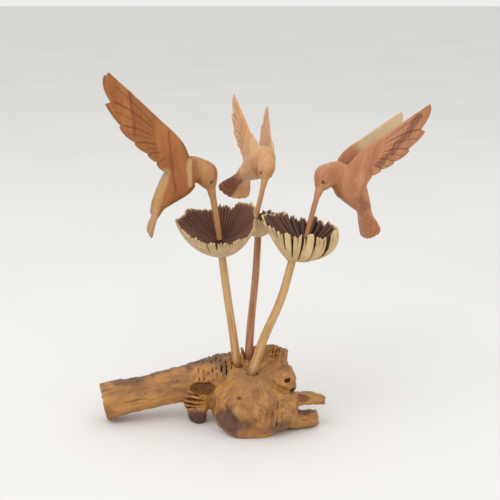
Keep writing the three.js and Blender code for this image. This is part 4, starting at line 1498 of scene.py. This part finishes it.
def make_flowers() -> tuple[Flower, ...]:
    """Give the three dried flowers."""
    dried = DriedFlower(
        "left_flower_dried", tone(205, 176, 132), tone(184, 160, 138), tone(188, 158, 116), tone(118, 74, 54),
        tone(58, 30, 22),
    )
    cream = DriedFlower(
        "right_flower_dried", tone(214, 186, 136), tone(196, 166, 124), tone(198, 168, 120), tone(92, 58, 42),
        tone(48, 27, 20),
    )
    small = DriedFlower(
        "middle_flower_dried", tone(208, 180, 136), tone(196, 170, 130), tone(190, 162, 122), tone(88, 62, 42),
        tone(42, 26, 20),
    )
    return (
        Flower(
            "flower_left", (-24, 0, 156.6), (29, 33, 31, 37, 39, 34, 30, 29), (29, 42, 36, 36, 30, 22, 18, 21),
            (0.5, 0.5, 0.5, 0.6, 0.72, 0.7, 0.6, 0.55), (-25.2, -3.8, 172.2),
            (Slit(246, 1.6, 7), Slit(262, 1.4, 6), Slit(228, 1.3, 5), Slit(212, 1.2, 5)),
            pleats=76, pleat_depth=1.7, teeth=2.6, seed=3, finish=dried,
        ),
        Flower(
            "flower_middle", (7.2, 50, 161.7), (24, 23, 22, 23, 23, 22, 23, 24), (20, 18, 18, 18, 19, 20, 21, 20),
            (0.5,) * 8, (3.8, 48.6, 171.6), (), pleats=54, pleat_depth=1.5, teeth=3.2, seed=7, finish=small,
        ),
        Flower(
            "flower_right", (36, -5, 154.5), (39, 35, 28, 27, 26, 28, 28, 34), (27, 29, 32, 36, 38, 33, 28, 26),
            (1.5, 1.2, 0.7, 0.4, 0.2, 0.3, 0.7, 1.2), (46.6, -6.6, 169.0),
            (Slit(236, 2.0, 8), Slit(252, 2.0, 13), Slit(268, 1.8, 17), Slit(286, 2.0, 19), Slit(304, 2.2, 17), Slit(330, 6.0, 18)),
            pleats=30, pleat_depth=2.4, teeth=3.4, seed=5, finish=cream, lobe_rise=2.2,
        ),
    )


def make_stems() -> tuple[Stem, ...]:
    """Give the three stems."""
    tan = WhittledStem("stem_tan_wood", tone(206, 164, 112), tone(176, 128, 80), tone(122, 76, 42))
    red = WhittledStem("stem_reddish_wood", tone(192, 140, 98), tone(150, 94, 62), tone(106, 58, 38))
    return (
        Stem("stem_left", "stem_wood", (-11.7, 12, 52), (-24, 0, 156.6), 4.0, 3.3, tan, (0, 0.3, -0.2, 0)),
        Stem("stem_middle", "stem_wood_reddish", (-1.2, 25, 54), (7.2, 50, 161.7), 3.8, 3.1, red, (0, -0.4, 0.6, 0)),
        Stem("stem_right", "stem_wood", (2.2, -1, 48), (36, -5, 154.5), 4.2, 3.5, tan, (0, -1.2, 2.2, 0)),
    )


def make_root(stems: tuple[Stem, ...]) -> Root:
    """Give the root, with its pits and stains."""
    wood = RootWood(
        "root_weathered_wood",
        gold=tone(190, 134, 66),
        brown=tone(150, 102, 56),
        umber=tone(82, 50, 30),
        purple=tone(92, 58, 48),
        red=tone(118, 52, 32),
        sanded=tone(170, 126, 76),
    )
    return Root("root_base", "root_wood", wood, stems)


def main() -> None:
    """Build every piece of the carving in its studio."""
    logging.basicConfig(level=logging.INFO, format="%(name)s: %(message)s")
    Studio().build()
    stems = make_stems()
    for stem in stems:
        stem.build()
    for flower in make_flowers():
        flower.build()
    for bird in make_birds():
        bird.build()
    make_root(stems).build()


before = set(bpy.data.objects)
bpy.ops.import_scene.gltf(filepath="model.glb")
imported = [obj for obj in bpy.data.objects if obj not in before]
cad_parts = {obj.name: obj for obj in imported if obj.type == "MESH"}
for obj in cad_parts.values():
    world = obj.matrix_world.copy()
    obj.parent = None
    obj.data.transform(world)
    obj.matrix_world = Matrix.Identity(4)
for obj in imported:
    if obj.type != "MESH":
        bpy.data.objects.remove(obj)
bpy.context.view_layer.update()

if __name__ == "__main__":
    main()
